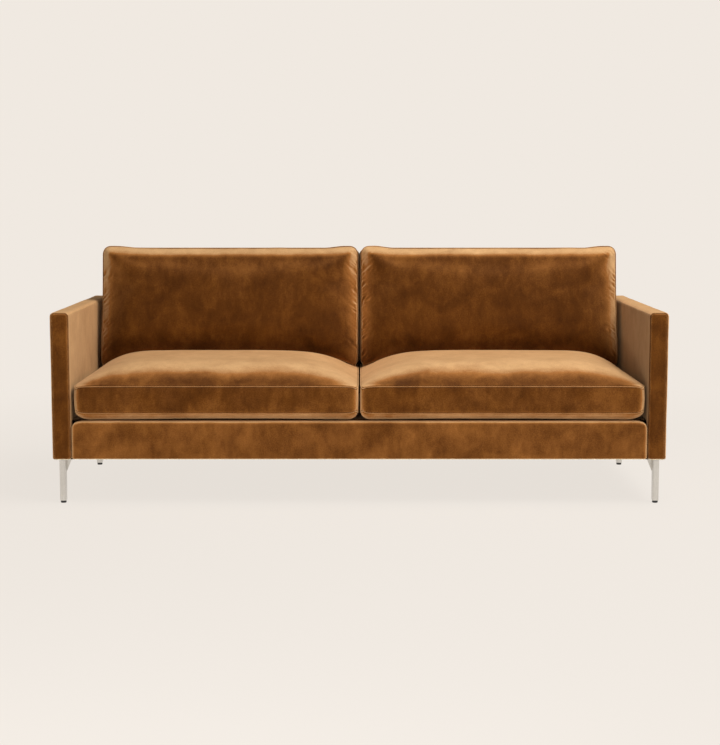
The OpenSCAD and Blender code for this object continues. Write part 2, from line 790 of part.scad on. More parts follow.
// Foam core of a seat cushion: a full slab with smaller ones below and above
module seat_core_form(less) {
    d = 2 * seat_half - 2 * fill_in;
    w = 2 * cushion_half - 2 * fill_in;
    belly = seat_belly / 2;
    translate([cushion_x, seat_y, 0]) hull() {
        translate([0, 0, seat_bottom - belly + less])
            linear_extrude(belly) round_rect(w - fill_step, d - fill_step, fill_corner_r);
        translate([0, 0, seat_bottom + less])
            linear_extrude(seat_band_h - 2 * less)
                round_rect(w - 2 * less, d - 2 * less, fill_corner_r);
        translate([0, 0, seat_top])
            linear_extrude(fill_crown - less) round_rect(w - 2 * fill_step, d - 2 * fill_step, fill_corner_r);
    }
}

// Fibre fill of a back cushion: a leaning slab with a smaller one in front of it
module back_fill_form(less) {
    w = 2 * cushion_half - 2 * fill_in;
    h = back_rise - toe_rise - 2 * fill_in;
    mid = toe_rise + fill_in + h / 2;
    slab = back_band_t - fill_in;
    translate([cushion_x, foot_y, foot_z]) rotate([90 - back_lean, 0, 0]) translate([0, mid, 0]) hull() {
        translate([0, 0, fill_in / 2 + less])
            linear_extrude(slab - 2 * less) round_rect(w - 2 * less, h - 2 * less, fill_corner_r);
        translate([0, 0, back_band_t])
            linear_extrude(fill_crown - less) round_rect(w - 2 * fill_step, h - 2 * fill_step, fill_corner_r);
    }
}

// Places a zip on the rear band of the right seat cushion, or under the foot of the back cushion
module at_seat_zip() {
    translate([cushion_x, seat_rear + band_bulge, seat_bottom + seat_band_h / 2]) rotate([90, 0, 0]) children();
}

module at_back_zip() {
    translate([cushion_x, (foot_y + toe_y) / 2, (foot_z + toe_z) / 2]) rotate([-foot_tilt, 0, 0]) children();
}

// Channel, tape with its chain, and slider: depth runs along +z from the face of the band
module zip_channel(l) {
    w = tape_w + 2 * zip_side;
    board([-l / 2 - zip_side, -w / 2, -cut], [l / 2 + zip_side, w / 2, zip_depth]);
}

module zip_tape(l) {
    chain = zip_depth - tape_t;
    board([-l / 2, -tape_w / 2, chain], [l / 2, tape_w / 2, zip_depth]);
    board([-l / 2, -chain_w / 2, chain - chain_t], [l / 2, chain_w / 2, chain]);
}

module zip_slider(l) {
    face = zip_depth - tape_t - slider_fit;
    slot = chain_w + 2 * slider_fit;
    x = slider_l - l / 2;
    difference() {
        union() {
            board([x, -slider_w / 2, face - slider_t], [x + slider_l, slider_w / 2, face]);
            translate([x + slider_l, 0, face - slider_t]) linear_extrude(tab_t)
                translate([tab_l / 2 - tab_t, 0]) round_rect(tab_l, chain_w, chain_w / 2 - tab_t / 2);
        }
        board([x - cut, -slot / 2, face - chain_t - slider_fit], [x + slider_l + cut, slot / 2, face + cut]);
    }
}

// Cushions
module seat_cover(side) {
    color(velvet_colour) on_side(side) difference() {
        polyhedron(seat_points(), cushion_faces(mesh_across, mesh_along, mesh_up));
        seat_core_form(0);
        at_seat_zip() zip_channel(seat_zip_l);
    }
}

module seat_core(side) {
    color(foam_colour) on_side(side) seat_core_form(fill_gap);
}

module back_cover(side) {
    color(velvet_colour) on_side(side) difference() {
        polyhedron(back_points(), cushion_faces(mesh_across, mesh_along, mesh_up));
        back_fill_form(0);
        at_back_zip() zip_channel(back_zip_l);
    }
}

module back_fill(side) {
    color(foam_colour) on_side(side) back_fill_form(fill_gap);
}

module seat_zip(side) {
    color(black_colour) on_side(side) at_seat_zip() zip_tape(seat_zip_l);
}

module back_zip(side) {
    color(black_colour) on_side(side) at_back_zip() zip_tape(back_zip_l);
}

module seat_zip_slider(side) {
    color(steel_colour) on_side(side) at_seat_zip() zip_slider(seat_zip_l);
}

module back_zip_slider(side) {
    color(steel_colour) on_side(side) at_back_zip() zip_slider(back_zip_l);
}

seat_front_rail();
seat_spring_rail();
side_rail(-1);  // seat_side_rail_left
side_rail(1);  // seat_side_rail_right
seat_centre_rail();
seat_corner_blocks();
arm_post(-1, front_y + skin);  // arm_front_post_left
arm_post(1, front_y + skin);  // arm_front_post_right
arm_post(-1, rear_y - skin - post_w);  // arm_rear_post_left
arm_post(1, rear_y - skin - post_w);  // arm_rear_post_right
arm_rails(-1);  // arm_rails_left
arm_rails(1);  // arm_rails_right
arm_panels(-1);  // arm_panels_left
arm_panels(1);  // arm_panels_right
back_bottom_rail();
back_top_rail();
back_uprights();
back_panel();
back_webbing();
seat_springs(-1);  // seat_springs_left
seat_springs(1);  // seat_springs_right
spring_clips();
deck_pad();
deck_cover();
border_pad();
border_cover();
arm_pad(-1);  // arm_pad_left
arm_pad(1);  // arm_pad_right
arm_cover(-1);  // arm_cover_left
arm_cover(1);  // arm_cover_right
back_pad();
back_frame_cover();
dust_cover();
leg(-1, leg_ys[0]);  // leg_front_left
leg(1, leg_ys[0]);  // leg_front_right
leg(-1, leg_ys[1]);  // leg_rear_left
leg(1, leg_ys[1]);  // leg_rear_right
leg_glides();
leg_screws();
arm_bolts();
arm_tee_nuts();
seat_cover(-1);  // seat_cover_left
seat_cover(1);  // seat_cover_right
seat_core(-1);  // seat_core_left
seat_core(1);  // seat_core_right
back_cover(-1);  // back_cover_left
back_cover(1);  // back_cover_right
back_fill(-1);  // back_fill_left
back_fill(1);  // back_fill_right
seat_zip(-1);  // seat_zip_left
seat_zip(1);  // seat_zip_right
back_zip(-1);  // back_zip_left
back_zip(1);  // back_zip_right
seat_zip_slider(-1);  // seat_zip_slider_left
seat_zip_slider(1);  // seat_zip_slider_right
back_zip_slider(-1);  // back_zip_slider_left
back_zip_slider(1);  // back_zip_slider_right
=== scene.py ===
import json
import math

import bmesh
import bpy
import numpy as np
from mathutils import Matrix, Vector, bvhtree, kdtree, noise


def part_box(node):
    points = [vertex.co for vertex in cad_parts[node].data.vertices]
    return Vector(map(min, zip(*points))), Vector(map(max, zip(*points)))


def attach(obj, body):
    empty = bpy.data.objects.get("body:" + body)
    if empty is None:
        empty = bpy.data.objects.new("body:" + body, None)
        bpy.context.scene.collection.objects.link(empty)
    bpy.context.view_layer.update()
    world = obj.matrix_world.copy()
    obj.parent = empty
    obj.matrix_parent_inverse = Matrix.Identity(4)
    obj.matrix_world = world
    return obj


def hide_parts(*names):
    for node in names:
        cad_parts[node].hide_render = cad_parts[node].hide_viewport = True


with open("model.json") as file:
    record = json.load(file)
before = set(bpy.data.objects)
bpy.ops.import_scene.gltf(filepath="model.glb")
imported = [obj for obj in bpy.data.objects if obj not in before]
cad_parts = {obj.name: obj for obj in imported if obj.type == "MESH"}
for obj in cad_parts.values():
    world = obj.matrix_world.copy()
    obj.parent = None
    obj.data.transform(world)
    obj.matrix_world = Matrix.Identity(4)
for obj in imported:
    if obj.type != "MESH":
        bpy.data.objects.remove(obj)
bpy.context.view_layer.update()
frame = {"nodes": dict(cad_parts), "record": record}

# Metres throughout. The left side is the side at -x, on the left in the photograph.
MM = 0.001
SIDES = {"left": -1, "right": 1}

# The photograph's camera: degrees down, millimetres of lens and sensor
CAMERA_PLACE = (0.0023, -5.6125, 1.0346)
CAMERA_PITCH = 6.53
CAMERA_LENS = 76.3
CAMERA_SENSOR = 36

# The studio: the floor's own glow, what it shows of the lights, and what it throws on the sofa
BACKGROUND = (0.871, 0.815, 0.753)
FLOOR_GLOW = 0.90
FLOOR_MATTE = 0.09
FLOOR_BOUNCE = 0.8
FLOOR_NEAR, FLOOR_FAR = 1.3, 3.2
SKY_LIGHT = 0.20

# The velvet, darkest to palest: its colour seen square on, then a painted sheen half along the pile and
# along it, where the view grazes the surface
VELVET_DEEP = [(0, (0.052, 0.0145, 0.0013)), (0.5, (0.094, 0.0285, 0.0031)), (1, (0.155, 0.052, 0.0068))]
VELVET_HALF = [(0, (0.24, 0.084, 0.017)), (1, (0.38, 0.150, 0.036))]
VELVET_PALE = [(0, (0.50, 0.275, 0.115)), (1, (0.70, 0.415, 0.190))]
# Painted shadow, near black, in seams and open gaps
VELVET_PAINTED_SHADOW = (0.010, 0.003, 0.0005)
# How much the nap and the painted marks shift the painted sheen, and between which slants to the view it
# turns from deep to pale
NAP_SLANT = 0.07
MARK_SLANT = -0.45
SLANT_DEEP, SLANT_PALE = 0.03, 0.66

# Painted shade on the pile: along seams, where pieces touch, in open gaps, and on the arms' inner faces,
# darker on the right arm, which faces away from the key light
SEAM_SHADE = 0.8
CONTACT_SHADE = 0.62
GAP_SHADE = 0.98
INNER_ARM_SHADE = {"left": 0.5, "right": 0.7}

# Roundings of padded edges, butted ends and hems; spacing of loops; radii of the raised seams
EDGE_R = 14 * MM
END_R = 1 * MM
HEM_R = 4 * MM
HEM_BELOW = 0.6 * MM
PANEL_STEP = 9 * MM
BACK_PANEL_STEP = 11 * MM
SEAM_LOOPS = [0, 2.5 * MM, 6 * MM, 11.5 * MM]
WELT_R = 1.6 * MM
THIN_WELT_R = 1.2 * MM
PANEL_WELT_R = 1.0 * MM
# How much paler the panels' raised seams are painted: a painted highlight
PANEL_WELT_HIGHLIGHT = 0.1

# The top corners of the seat border
BORDER_DROP = 17 * MM
BORDER_REACH = 40 * MM

# Frame of the back: its lean, and where its front face meets the deck
BACK_LEAN = math.radians(8)
DECK_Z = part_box("deck_cover")[1].z
BACK_FOOT_Y = 305 * MM
ARM_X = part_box("arm_cover_right")[0].x

# Seat cushions
SEAT_BELLY = 26 * MM
SEAT_BAND = 90 * MM
SEAT_CORNER_R = 25 * MM
SEAT_INNER_X = 4 * MM
SEAT_OUTER_X = 946 * MM
SEAT_GAP_X = 1.9 * MM
SEAT_PINCH = 8 * MM
SEAT_OUTER_BULGE = 3 * MM
SEAT_FRONT_BULGE = 2.5 * MM
SEAT_EDGE_POWER = {"inner": 5, "outer": 7}
SEAT_ROLL_POWER = 6.5
BELLY_REACH = {"inner": 33 * MM, "outer": 55 * MM, "front": 28 * MM, "rear": 28 * MM}
SEAT_ROLL_SHARE = 0.41
SEAT_SLOPE_SHARE = 0.68

# Back cushions
BACK_RISE = 414 * MM
BACK_BAND = 180 * MM
BACK_CROWN = 58 * MM
BACK_DOME = 0.28
BACK_SIDE_REACH = 105 * MM
BACK_TOP_REACH = 36 * MM
BACK_BELLY = 24 * MM
BACK_CORNER_R = 28 * MM
BACK_INNER_X = 6.5 * MM
BACK_OUTER_X = 937 * MM
BACK_GAP_X = 0.4 * MM
BACK_INNER_BULGE = BACK_INNER_X + 3 * MM
BACK_OUTER_BULGE = 5 * MM
BACK_TOP_BULGE = 2.5 * MM
BACK_FLARE = 7 * MM
MEETING_WAVE = 1.4 * MM
MEETING_WAVE_L = 70 * MM
EAR_H = 6.5 * MM
EAR_START, EAR_FULL = 0.74, 0.90
FOOT_GAP = 1 * MM

# Puckers along the back cushions' side seams
PUCKER_H = 2.7 * MM
PUCKER_PITCH = 13 * MM
PUCKER_REACH = 32 * MM
PUCKER_SLANT = 1.0

# Zips: the channel's half width, depth and room at its ends, how far it is sunk, and its sewn edge
ZIP_HALF_W = 16 * MM
ZIP_DEPTH = 12 * MM
ZIP_END_ROOM = 1.5 * MM
ZIP_SUNK = 2 * MM
ZIP_EDGE_GAP = 2 * MM

# Cloth simulation, and how far it may move the seat and back cushions' covers
PRESSURE = 3
PUFF_FRAMES = 20
EASE_ROUNDS = 12
SEAT_PUFF = 6 * MM
BACK_PUFF = 7 * MM

# The two stretched cloths
CLOTH_T = 0.8 * MM
CLOTH_STEP = 20 * MM
DECK_LIP = 12 * MM
DUST_SAG = 0.8 * MM


def node(tree, kind, inputs=None, **settings):
    """Adds a shader node, sets it up and fills or links its inputs."""
    made = tree.nodes.new(kind)
    for name, value in settings.items():
        setattr(made, name, value)
    for name, value in (inputs or {}).items():
        if isinstance(value, bpy.types.NodeSocket):
            tree.links.new(value, made.inputs[name])
        else:
            made.inputs[name].default_value = value
    return made


def maths(tree, operation, *values, clamp=False):
    inputs = dict(enumerate(values))
    return node(tree, "ShaderNodeMath", inputs, operation=operation, use_clamp=clamp).outputs[0]


def colour_ramp(tree, factor, stops):
    ramp = node(tree, "ShaderNodeValToRGB", {"Fac": factor})
    while len(ramp.color_ramp.elements) < len(stops):
        ramp.color_ramp.elements.new(1)
    for element, (place, colour) in zip(ramp.color_ramp.elements, stops):
        element.position = place
        element.color = (*colour, 1)
    return ramp.outputs["Color"]


def noise_texture(tree, vector, scale, detail=2, roughness=0.5, distortion=0):
    inputs = {"Vector": vector, "Scale": scale, "Detail": detail}
    inputs.update({"Roughness": roughness, "Distortion": distortion})
    return node(tree, "ShaderNodeTexNoise", inputs).outputs["Fac"]


def stretched(tree, vector, scale):
    return node(tree, "ShaderNodeMapping", {"Vector": vector, "Scale": scale}).outputs["Vector"]


def new_group(name, inputs, outputs):
    """An empty node group with float inputs, one vector input and float outputs."""
    tree = bpy.data.node_groups.new(name, "ShaderNodeTree")
    tree.interface.new_socket("Vector", in_out="INPUT", socket_type="NodeSocketVector")
    for label in inputs:
        tree.interface.new_socket(label, in_out="INPUT", socket_type="NodeSocketFloat")
    for label in outputs:
        tree.interface.new_socket(label, in_out="OUTPUT", socket_type="NodeSocketFloat")
    return tree, tree.nodes.new("NodeGroupInput").outputs, tree.nodes.new("NodeGroupOutput").inputs


def nap_group():
    """Pile brushed one way and another: large patches, upright streaks and a fine speckle."""
    tree, given, out = new_group("nap", ["Patches", "Streaks", "Speckle"], ["Shade", "Height"])
    patches = noise_texture(tree, given["Vector"], given["Patches"], 3, 0.55, 0.6)
    upright = stretched(tree, given["Vector"], (1, 1, 0.45))
    streaks = noise_texture(tree, upright, given["Streaks"], 4, 0.6, 0.4)
    speckle = noise_texture(tree, given["Vector"], given["Speckle"], 2, 0.6)
    shade = maths(tree, "MULTIPLY_ADD", patches, 1.4, -0.7)
    shade = maths(tree, "MULTIPLY_ADD", streaks, 0.9, shade)
    shade = maths(tree, "MULTIPLY_ADD", speckle, 1.0, shade)
    tree.links.new(maths(tree, "ADD", shade, -0.45, clamp=True), out["Shade"])
    height = maths(tree, "MULTIPLY_ADD", patches, 1.0, maths(tree, "MULTIPLY", streaks, 0.4))
    tree.links.new(height, out["Height"])
    return tree


def weave_group():
    """Plain weave: threads over and under each other."""
    tree, given, out = new_group("weave", ["Threads"], ["Thread", "Height"])
    waves = []
    for axis in ("X", "Y"):
        inputs = {"Vector": given["Vector"], "Scale": given["Threads"], "Distortion": 0.4, "Detail": 1}
        waves.append(node(tree, "ShaderNodeTexWave", inputs, bands_direction=axis).outputs["Fac"])
    height = maths(tree, "MAXIMUM", *waves)
    tree.links.new(height, out["Height"])
    fuzz = noise_texture(tree, given["Vector"], given["Threads"], 3, 0.7)
    thread = maths(tree, "MULTIPLY_ADD", fuzz, 0.5, maths(tree, "MULTIPLY", height, 0.5))
    tree.links.new(thread, out["Thread"])
    return tree


def brushing_group():
    """Fine parallel scratches along z, as on brushed or drawn metal."""
    tree, given, out = new_group("brushing", ["Scratches"], ["Mask", "Height"])
    along = stretched(tree, given["Vector"], (1, 1, 0.03))
    lines = noise_texture(tree, along, given["Scratches"], 4, 0.65)
    smudges = noise_texture(tree, given["Vector"], 18, 3, 0.6)
    mask = maths(tree, "MULTIPLY_ADD", smudges, 0.4, maths(tree, "MULTIPLY", lines, 0.6))
    tree.links.new(mask, out["Mask"])
    tree.links.new(lines, out["Height"])
    return tree


def pores_group():
    """Open cells of foam, or the tangle of felt and fibre."""
    tree, given, out = new_group("pores", ["Cells"], ["Shade", "Height"])
    inputs = {"Vector": given["Vector"], "Scale": given["Cells"], "Randomness": 1}
    cells = node(tree, "ShaderNodeTexVoronoi", inputs, feature="F1").outputs["Distance"]
    tangle = noise_texture(tree, given["Vector"], given["Cells"], 4, 0.7, 1.5)
    shade = maths(tree, "MULTIPLY_ADD", cells, 0.6, maths(tree, "MULTIPLY", tangle, 0.5))
    tree.links.new(shade, out["Shade"])
    tree.links.new(cells, out["Height"])
    return tree


GROUPS = {"nap": nap_group(), "weave": weave_group(), "brushing": brushing_group(), "pores": pores_group()}


def use_group(tree, name, vector, **values):
    inputs = {"Vector": vector, **values}
    return node(tree, "ShaderNodeGroup", inputs, node_tree=GROUPS[name]).outputs


def new_material(name, **constants):
    """A Principled material; the constants go straight on its sockets."""
    material = bpy.data.materials.new(name)
    material.use_nodes = True
    tree = material.node_tree
    shader = tree.nodes["Principled BSDF"]
    for label, value in constants.items():
        shader.inputs[label.replace("_", " ").title().replace("Ior", "IOR")].default_value = value
    return material, tree, shader


def add_bump(tree, shader, height, distance, strength=1):
    inputs = {"Height": height, "Distance": distance, "Strength": strength}
    bump = node(tree, "ShaderNodeBump", inputs).outputs["Normal"]
    tree.links.new(bump, shader.inputs["Normal"])
    return bump


def finish_material(tree, shader, colour, height, distance, strength=1):
    tree.links.new(colour, shader.inputs["Base Color"])
    add_bump(tree, shader, height, distance, strength)


def object_place(tree):
    return node(tree, "ShaderNodeTexCoord").outputs["Object"]


def velvet_material():
    """Deep brown seen square on, with a painted sheen of orange and then pale tan where the view grazes it,
    and a painted shade where marked.
    """
    material, tree, shader = new_material(
        "velvet", roughness=0.85, specular_ior_level=0.1, sheen_weight=0.35, sheen_roughness=0.4,
        sheen_tint=(1.0, 0.60, 0.32, 1),
    )
    nap = use_group(tree, "nap", object_place(tree), Patches=9, Streaks=42, Speckle=300)
    bump = add_bump(tree, shader, nap["Height"], 0.8 * MM)
    # Painted sheen: the colour turns paler as the surface turns away from the view, shifted by the nap and
    # by the painted marks
    facing = node(tree, "ShaderNodeLayerWeight", {"Blend": 0.5, "Normal": bump}).outputs["Facing"]
    mark = node(tree, "ShaderNodeAttribute", attribute_name="nap_and_painted_shade").outputs["Fac"]
    slant = maths(tree, "MULTIPLY_ADD", nap["Shade"], NAP_SLANT, facing)
    slant = maths(tree, "MULTIPLY_ADD", mark, MARK_SLANT, slant)
    limits = {"Value": slant, "From Min": SLANT_DEEP, "From Max": SLANT_PALE}
    painted_sheen = node(tree, "ShaderNodeMapRange", limits, interpolation_type="SMOOTHSTEP").outputs["Result"]
    stages = [colour_ramp(tree, nap["Shade"], stops) for stops in (VELVET_DEEP, VELVET_HALF, VELVET_PALE)]
    half = maths(tree, "MULTIPLY", painted_sheen, 2, clamp=True)
    full = maths(tree, "MULTIPLY_ADD", painted_sheen, 2, -1, clamp=True)
    pile = node(tree, "ShaderNodeMix", {0: half, 6: stages[0], 7: stages[1]}, data_type="RGBA").outputs[2]
    pile = node(tree, "ShaderNodeMix", {0: full, 6: pile, 7: stages[2]}, data_type="RGBA").outputs[2]
    # Marks from 0.4 to 1 turn to the painted shadow colour
    nap_and_painted_shade = maths(tree, "MULTIPLY_ADD", mark, 1.6, -0.6, clamp=True)
    inputs = {0: nap_and_painted_shade, 6: pile, 7: (*VELVET_PAINTED_SHADOW, 1)}
    colour = node(tree, "ShaderNodeMix", inputs, data_type="RGBA").outputs[2]
    tree.links.new(colour, shader.inputs["Base Color"])
    return material


def cloth_material(name, dark, light, threads):
    material, tree, shader = new_material(name, roughness=0.9, specular_ior_level=0.2)
    weave = use_group(tree, "weave", object_place(tree), Threads=threads)
    colour = colour_ramp(tree, weave["Thread"], [(0.2, dark), (0.8, light)])
    finish_material(tree, shader, colour, weave["Height"], 0.3 * MM)
    return material


def metal_material(name, dark, light, scratches, roughness):
    material, tree, shader = new_material(name, metallic=1)
    brushing = use_group(tree, "brushing", object_place(tree), Scratches=scratches)
    colour = colour_ramp(tree, brushing["Mask"], [(0.3, dark), (0.7, light)])
    finish_material(tree, shader, colour, brushing["Height"], 0.05 * MM, 0.6)
    limits = {"Value": brushing["Mask"], "To Min": roughness[0], "To Max": roughness[1]}
    spread = node(tree, "ShaderNodeMapRange", limits)
    tree.links.new(spread.outputs["Result"], shader.inputs["Roughness"])
    return material


def stuffing_material(name, dark, light, cells):
    material, tree, shader = new_material(name, roughness=0.95, specular_ior_level=0.1)
    pores = use_group(tree, "pores", object_place(tree), Cells=cells)
    colour = colour_ramp(tree, pores["Shade"], [(0.25, dark), (0.75, light)])
    finish_material(tree, shader, colour, pores["Height"], 0.6 * MM)
    return material


def timber_material():
    material, tree, shader = new_material("timber", roughness=0.7, specular_ior_level=0.3)
    along = stretched(tree, object_place(tree), (0.15, 0.15, 1))
    rings = {"Vector": along, "Scale": 28, "Distortion": 5, "Detail": 3, "Detail Scale": 1.6}
    grain = node(tree, "ShaderNodeTexWave", rings, bands_direction="Z").outputs["Fac"]
    colour = colour_ramp(tree, grain, [(0, (0.50, 0.33, 0.18)), (1, (0.68, 0.50, 0.31))])
    finish_material(tree, shader, colour, grain, 0.2 * MM)
    return material


def speckled_material(name, dark, light, speckles, height, roughness, specular):
    """Speckles of two shades, as in pressed fibres or moulded plastic."""
    material, tree, shader = new_material(name, roughness=roughness, specular_ior_level=specular)
    shade = noise_texture(tree, object_place(tree), *speckles)
    colour = colour_ramp(tree, shade, [(0.3, dark), (0.7, light)])
    finish_material(tree, shader, colour, shade, height)
    return material


MATERIALS = {"velvet": velvet_material(), "timber": timber_material()}
# Dark and light shade, how fine the pattern is, and for some its height and the roughness
FINISHES = {
    speckled_material: {
        "hardboard": ((0.10, 0.052, 0.025), (0.20, 0.115, 0.06), (700, 4, 0.7), 0.1 * MM, 0.75, 0.25),
        "glide_plastic": ((0.008,) * 3, (0.022, 0.021, 0.020), (900, 3, 0.6), 0.05 * MM, 0.45, 0.5),
    },
    cloth_material: {
        "zip_tape": ((0.020, 0.011, 0.005), (0.055, 0.031, 0.014), 900),
        "dust_cloth": ((0.006, 0.006, 0.006), (0.022, 0.022, 0.022), 700),
        "webbing": ((0.015, 0.014, 0.013), (0.07, 0.065, 0.06), 350),
    },
    stuffing_material: {
        "foam": ((0.62, 0.52, 0.30), (0.86, 0.78, 0.55), 900),
        "fibre": ((0.70, 0.69, 0.66), (0.90, 0.89, 0.87), 260),
        "felt": ((0.16, 0.15, 0.14), (0.45, 0.43, 0.40), 500),
    },
    metal_material: {
        "leg_steel": ((0.60, 0.58, 0.54), (0.80, 0.78, 0.74), 700, (0.26, 0.40)),
        "spring_steel": ((0.16, 0.15, 0.14), (0.34, 0.33, 0.31), 500, (0.30, 0.5)),
        "zinc_steel": ((0.50, 0.50, 0.48), (0.70, 0.70, 0.67), 300, (0.28, 0.45)),
        "zip_metal": ((0.36, 0.27, 0.15), (0.60, 0.47, 0.28), 900, (0.25, 0.4)),
    },
}
for make_material, finishes in FINISHES.items():
    for finish, values in finishes.items():
        MATERIALS[finish] = make_material(finish, *values)


def dress_frame():
    """Gives every CAD node the finish of its slot."""
    slots = {part["node"]: part["material_slot"] for part in frame["record"]["subparts"]}
    for name, piece in frame["nodes"].items():
        piece.data.materials.clear()
        piece.data.materials.append(MATERIALS[slots[name]])


def add_object(name, data):
    made = bpy.data.objects.new(name, data)
    bpy.context.scene.collection.objects.link(made)
    return made


def add_mesh(name, bm):
    mesh = bpy.data.meshes.new(name)
    bm.to_mesh(mesh)
    bm.free()
    return add_object(name, mesh)


def make_piece(name, bm, body, slot, *nodes):
    """Turns a bmesh into a smooth piece that rides on a body and stands for CAD nodes."""
    piece = add_mesh(name, bm)
    piece.data.materials.append(MATERIALS[slot])
    piece.data.shade_smooth()
    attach(piece, body)
    if nodes:
        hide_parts(*nodes)
    return piece


def loop_places(low, high, near_low, near_high, step):
    """Places from low to high: at the given distances from each end, and evenly between."""
    start, end = low + near_low[-1], high - near_high[-1]
    count = max(1, round((end - start) / step))
    middle = [start + (end - start) * i / count for i in range(1, count)]
    return [low + d for d in near_low] + middle + [high - d for d in reversed(near_high)]


def grid_box(places):
    """A closed box of quads with an edge loop at each of the places along x, y and z."""
    bm = bmesh.new()
    bmesh.ops.create_cube(bm, size=2)
    for axis, along in enumerate(places):
        edges = [e for e in bm.edges if abs(e.verts[0].co[axis] - e.verts[1].co[axis]) > 1]
        bmesh.ops.subdivide_edges(bm, edges=edges, cuts=len(along) - 2, use_grid_fill=True)
    for v in bm.verts:
        v.co = [along[round((c + 1) / 2 * (len(along) - 1))] for c, along in zip(v.co, places)]
    return bm


def read_vectors(rows, field):
    vectors = np.empty(3 * len(rows))
    rows.foreach_get(field, vectors)
    return vectors.reshape(-1, 3)


def read_points(mesh):
    return read_vectors(mesh.vertices, "co")


def read_normals(mesh):
    return read_vectors(mesh.vertex_normals, "vector")


def write_points(mesh, points):
    mesh.vertices.foreach_set("co", np.ascontiguousarray(points).ravel())
    mesh.update()


def push_out(piece, move):
    """Moves each point of a piece along its normal."""
    write_points(piece.data, read_points(piece.data) + read_normals(piece.data) * move[:, None])


def bmesh_points(bm):
    return np.array([v.co for v in bm.verts])


def set_bmesh_points(bm, points):
    for v, co in zip(bm.verts, points):
        v.co = co
    if bm.calc_volume(signed=True) < 0:
        bmesh.ops.reverse_faces(bm, faces=bm.faces)


def subdivide(piece):
    """One level of subdivision, applied."""
    modifier = piece.modifiers.new("Smooth", "SUBSURF")
    modifier.levels = modifier.render_levels = 1
    evaluated = piece.evaluated_get(bpy.context.evaluated_depsgraph_get())
    mesh = bpy.data.meshes.new_from_object(evaluated)
    piece.modifiers.remove(modifier)
    old, piece.data = piece.data, mesh
    name = old.name
    bpy.data.meshes.remove(old)
    mesh.name = name
    mesh.shade_smooth()


def smooth_noise(points, size, seed):
    """Perlin noise from -1 to 1 at the points, with features of about the given size."""
    shift = Vector((seed * 7.31, seed * 3.17, seed * 5.77))
    return np.array([noise.noise(Vector(p) / size + shift) for p in points])


def press_seam(piece, path, depth, width):
    """Draws the cloth in along a seam, so that it swells a little beside it, and paints shade in the seam.
    """
    tree = kdtree.KDTree(len(path))
    for i, p in enumerate(path):
        tree.insert(p, i)
    tree.balance()
    gaps = np.array([tree.find(p)[2] for p in read_points(piece.data)])
    share = (gaps / width) ** 2
    profile = np.exp(-share) - 0.35 * np.exp(-share / 9)
    push_out(piece, -depth * profile)
    # Painted shade in the seam's crease
    paint_shade_on_pile(piece, SEAM_SHADE * np.exp(-share ** 2))


def laid_on(piece, path, lift):
    """The path moved onto a piece's surface, and lifted a little off it."""
    mesh = piece.data
    faces = [face.vertices[:] for face in mesh.polygons]
    tree = bvhtree.BVHTree.FromPolygons([v.co for v in mesh.vertices], faces)
    laid = []
    for p in path:
        place, normal, _, _ = tree.find_nearest(p)
        laid.append(place + normal * lift)
    for _ in range(3):
        middle = [(a + 2 * b + c) / 4 for a, b, c in zip(laid, laid[1:], laid[2:])]
        laid = laid[:1] + middle + laid[-1:]
    return laid


def paint_shade_on_pile(piece, marks):
    """Keeps the painted light and shade on the pile, with the nap's patches: darker above 0, painted shadow
    from 0.4 to 1, and painted paler below 0.
    """
    attributes = piece.data.attributes
    attribute = attributes.get("nap_and_painted_shade") or attributes.new("nap_and_painted_shade", "FLOAT", "POINT")
    before = np.empty(len(piece.data.vertices))
    attribute.data.foreach_get("value", before)
    attribute.data.foreach_set("value", np.where(np.abs(marks) > np.abs(before), marks, before))


def shade_and_brush_pile(piece, base, spread, seed):
    """Painted light and shade over the piece as given, darker above 0 and paler below, and pile brushed
    unevenly by hand in soft patches.
    """
    points = read_points(piece.data)
    patches = smooth_noise(points * [1, 1, 0.7], 110 * MM, seed)
    patches = patches + 0.6 * smooth_noise(points, 42 * MM, seed + 4)
    paint_shade_on_pile(piece, base + spread * patches)


def dense_path(path, step, closed):
    """Points along a path at about the given step."""
    ends = path[1:] + path[:1] if closed else path[1:]
    dense = []
    for a, b in zip(path, ends):
        count = max(1, round((b - a).length / step))
        dense += [a.lerp(b, i / count) for i in range(count)]
    return dense if closed else dense + [path[-1]]


def add_welts(name, paths, body, closed=True, radius=WELT_R, highlight=0.4):
    """A thin raised seam along each path, half sunk in the cloth, with a painted highlight on it."""
    curve = bpy.data.curves.new(name, "CURVE")
    curve.dimensions = "3D"
    curve.bevel_depth = radius
    curve.bevel_resolution = 1
    curve.use_fill_caps = True
    for path in paths:
        spline = curve.splines.new("POLY")
        spline.points.add(len(path) - 1)
        for point, co in zip(spline.points, path):
            point.co = (*co, 1)
        spline.use_cyclic_u = closed
    holder = add_object(name + "_curve", curve)
    evaluated = holder.evaluated_get(bpy.context.evaluated_depsgraph_get())
    bm = bmesh.new()
    bm.from_mesh(evaluated.to_mesh())
    bpy.data.objects.remove(holder)
    bmesh.ops.remove_doubles(bm, verts=bm.verts, dist=0.01 * MM)
    bmesh.ops.recalc_face_normals(bm, faces=bm.faces)
    piece = make_piece(name, bm, body, "velvet")
    paint_shade_on_pile(piece, np.full(len(piece.data.vertices), -highlight))


def spread_out(mesh, values, rounds):
    """Evens values out between neighbouring points."""
    ends = np.array([edge.vertices[:] for edge in mesh.edges])
    count = np.bincount(ends.ravel(), minlength=len(values))[:, None]
    for _ in range(rounds):
        total = np.zeros_like(values)
        np.add.at(total, ends[:, 0], values[ends[:, 1]])
        np.add.at(total, ends[:, 1], values[ends[:, 0]])
        values = 0.5 * values + 0.5 * total / count
    return values


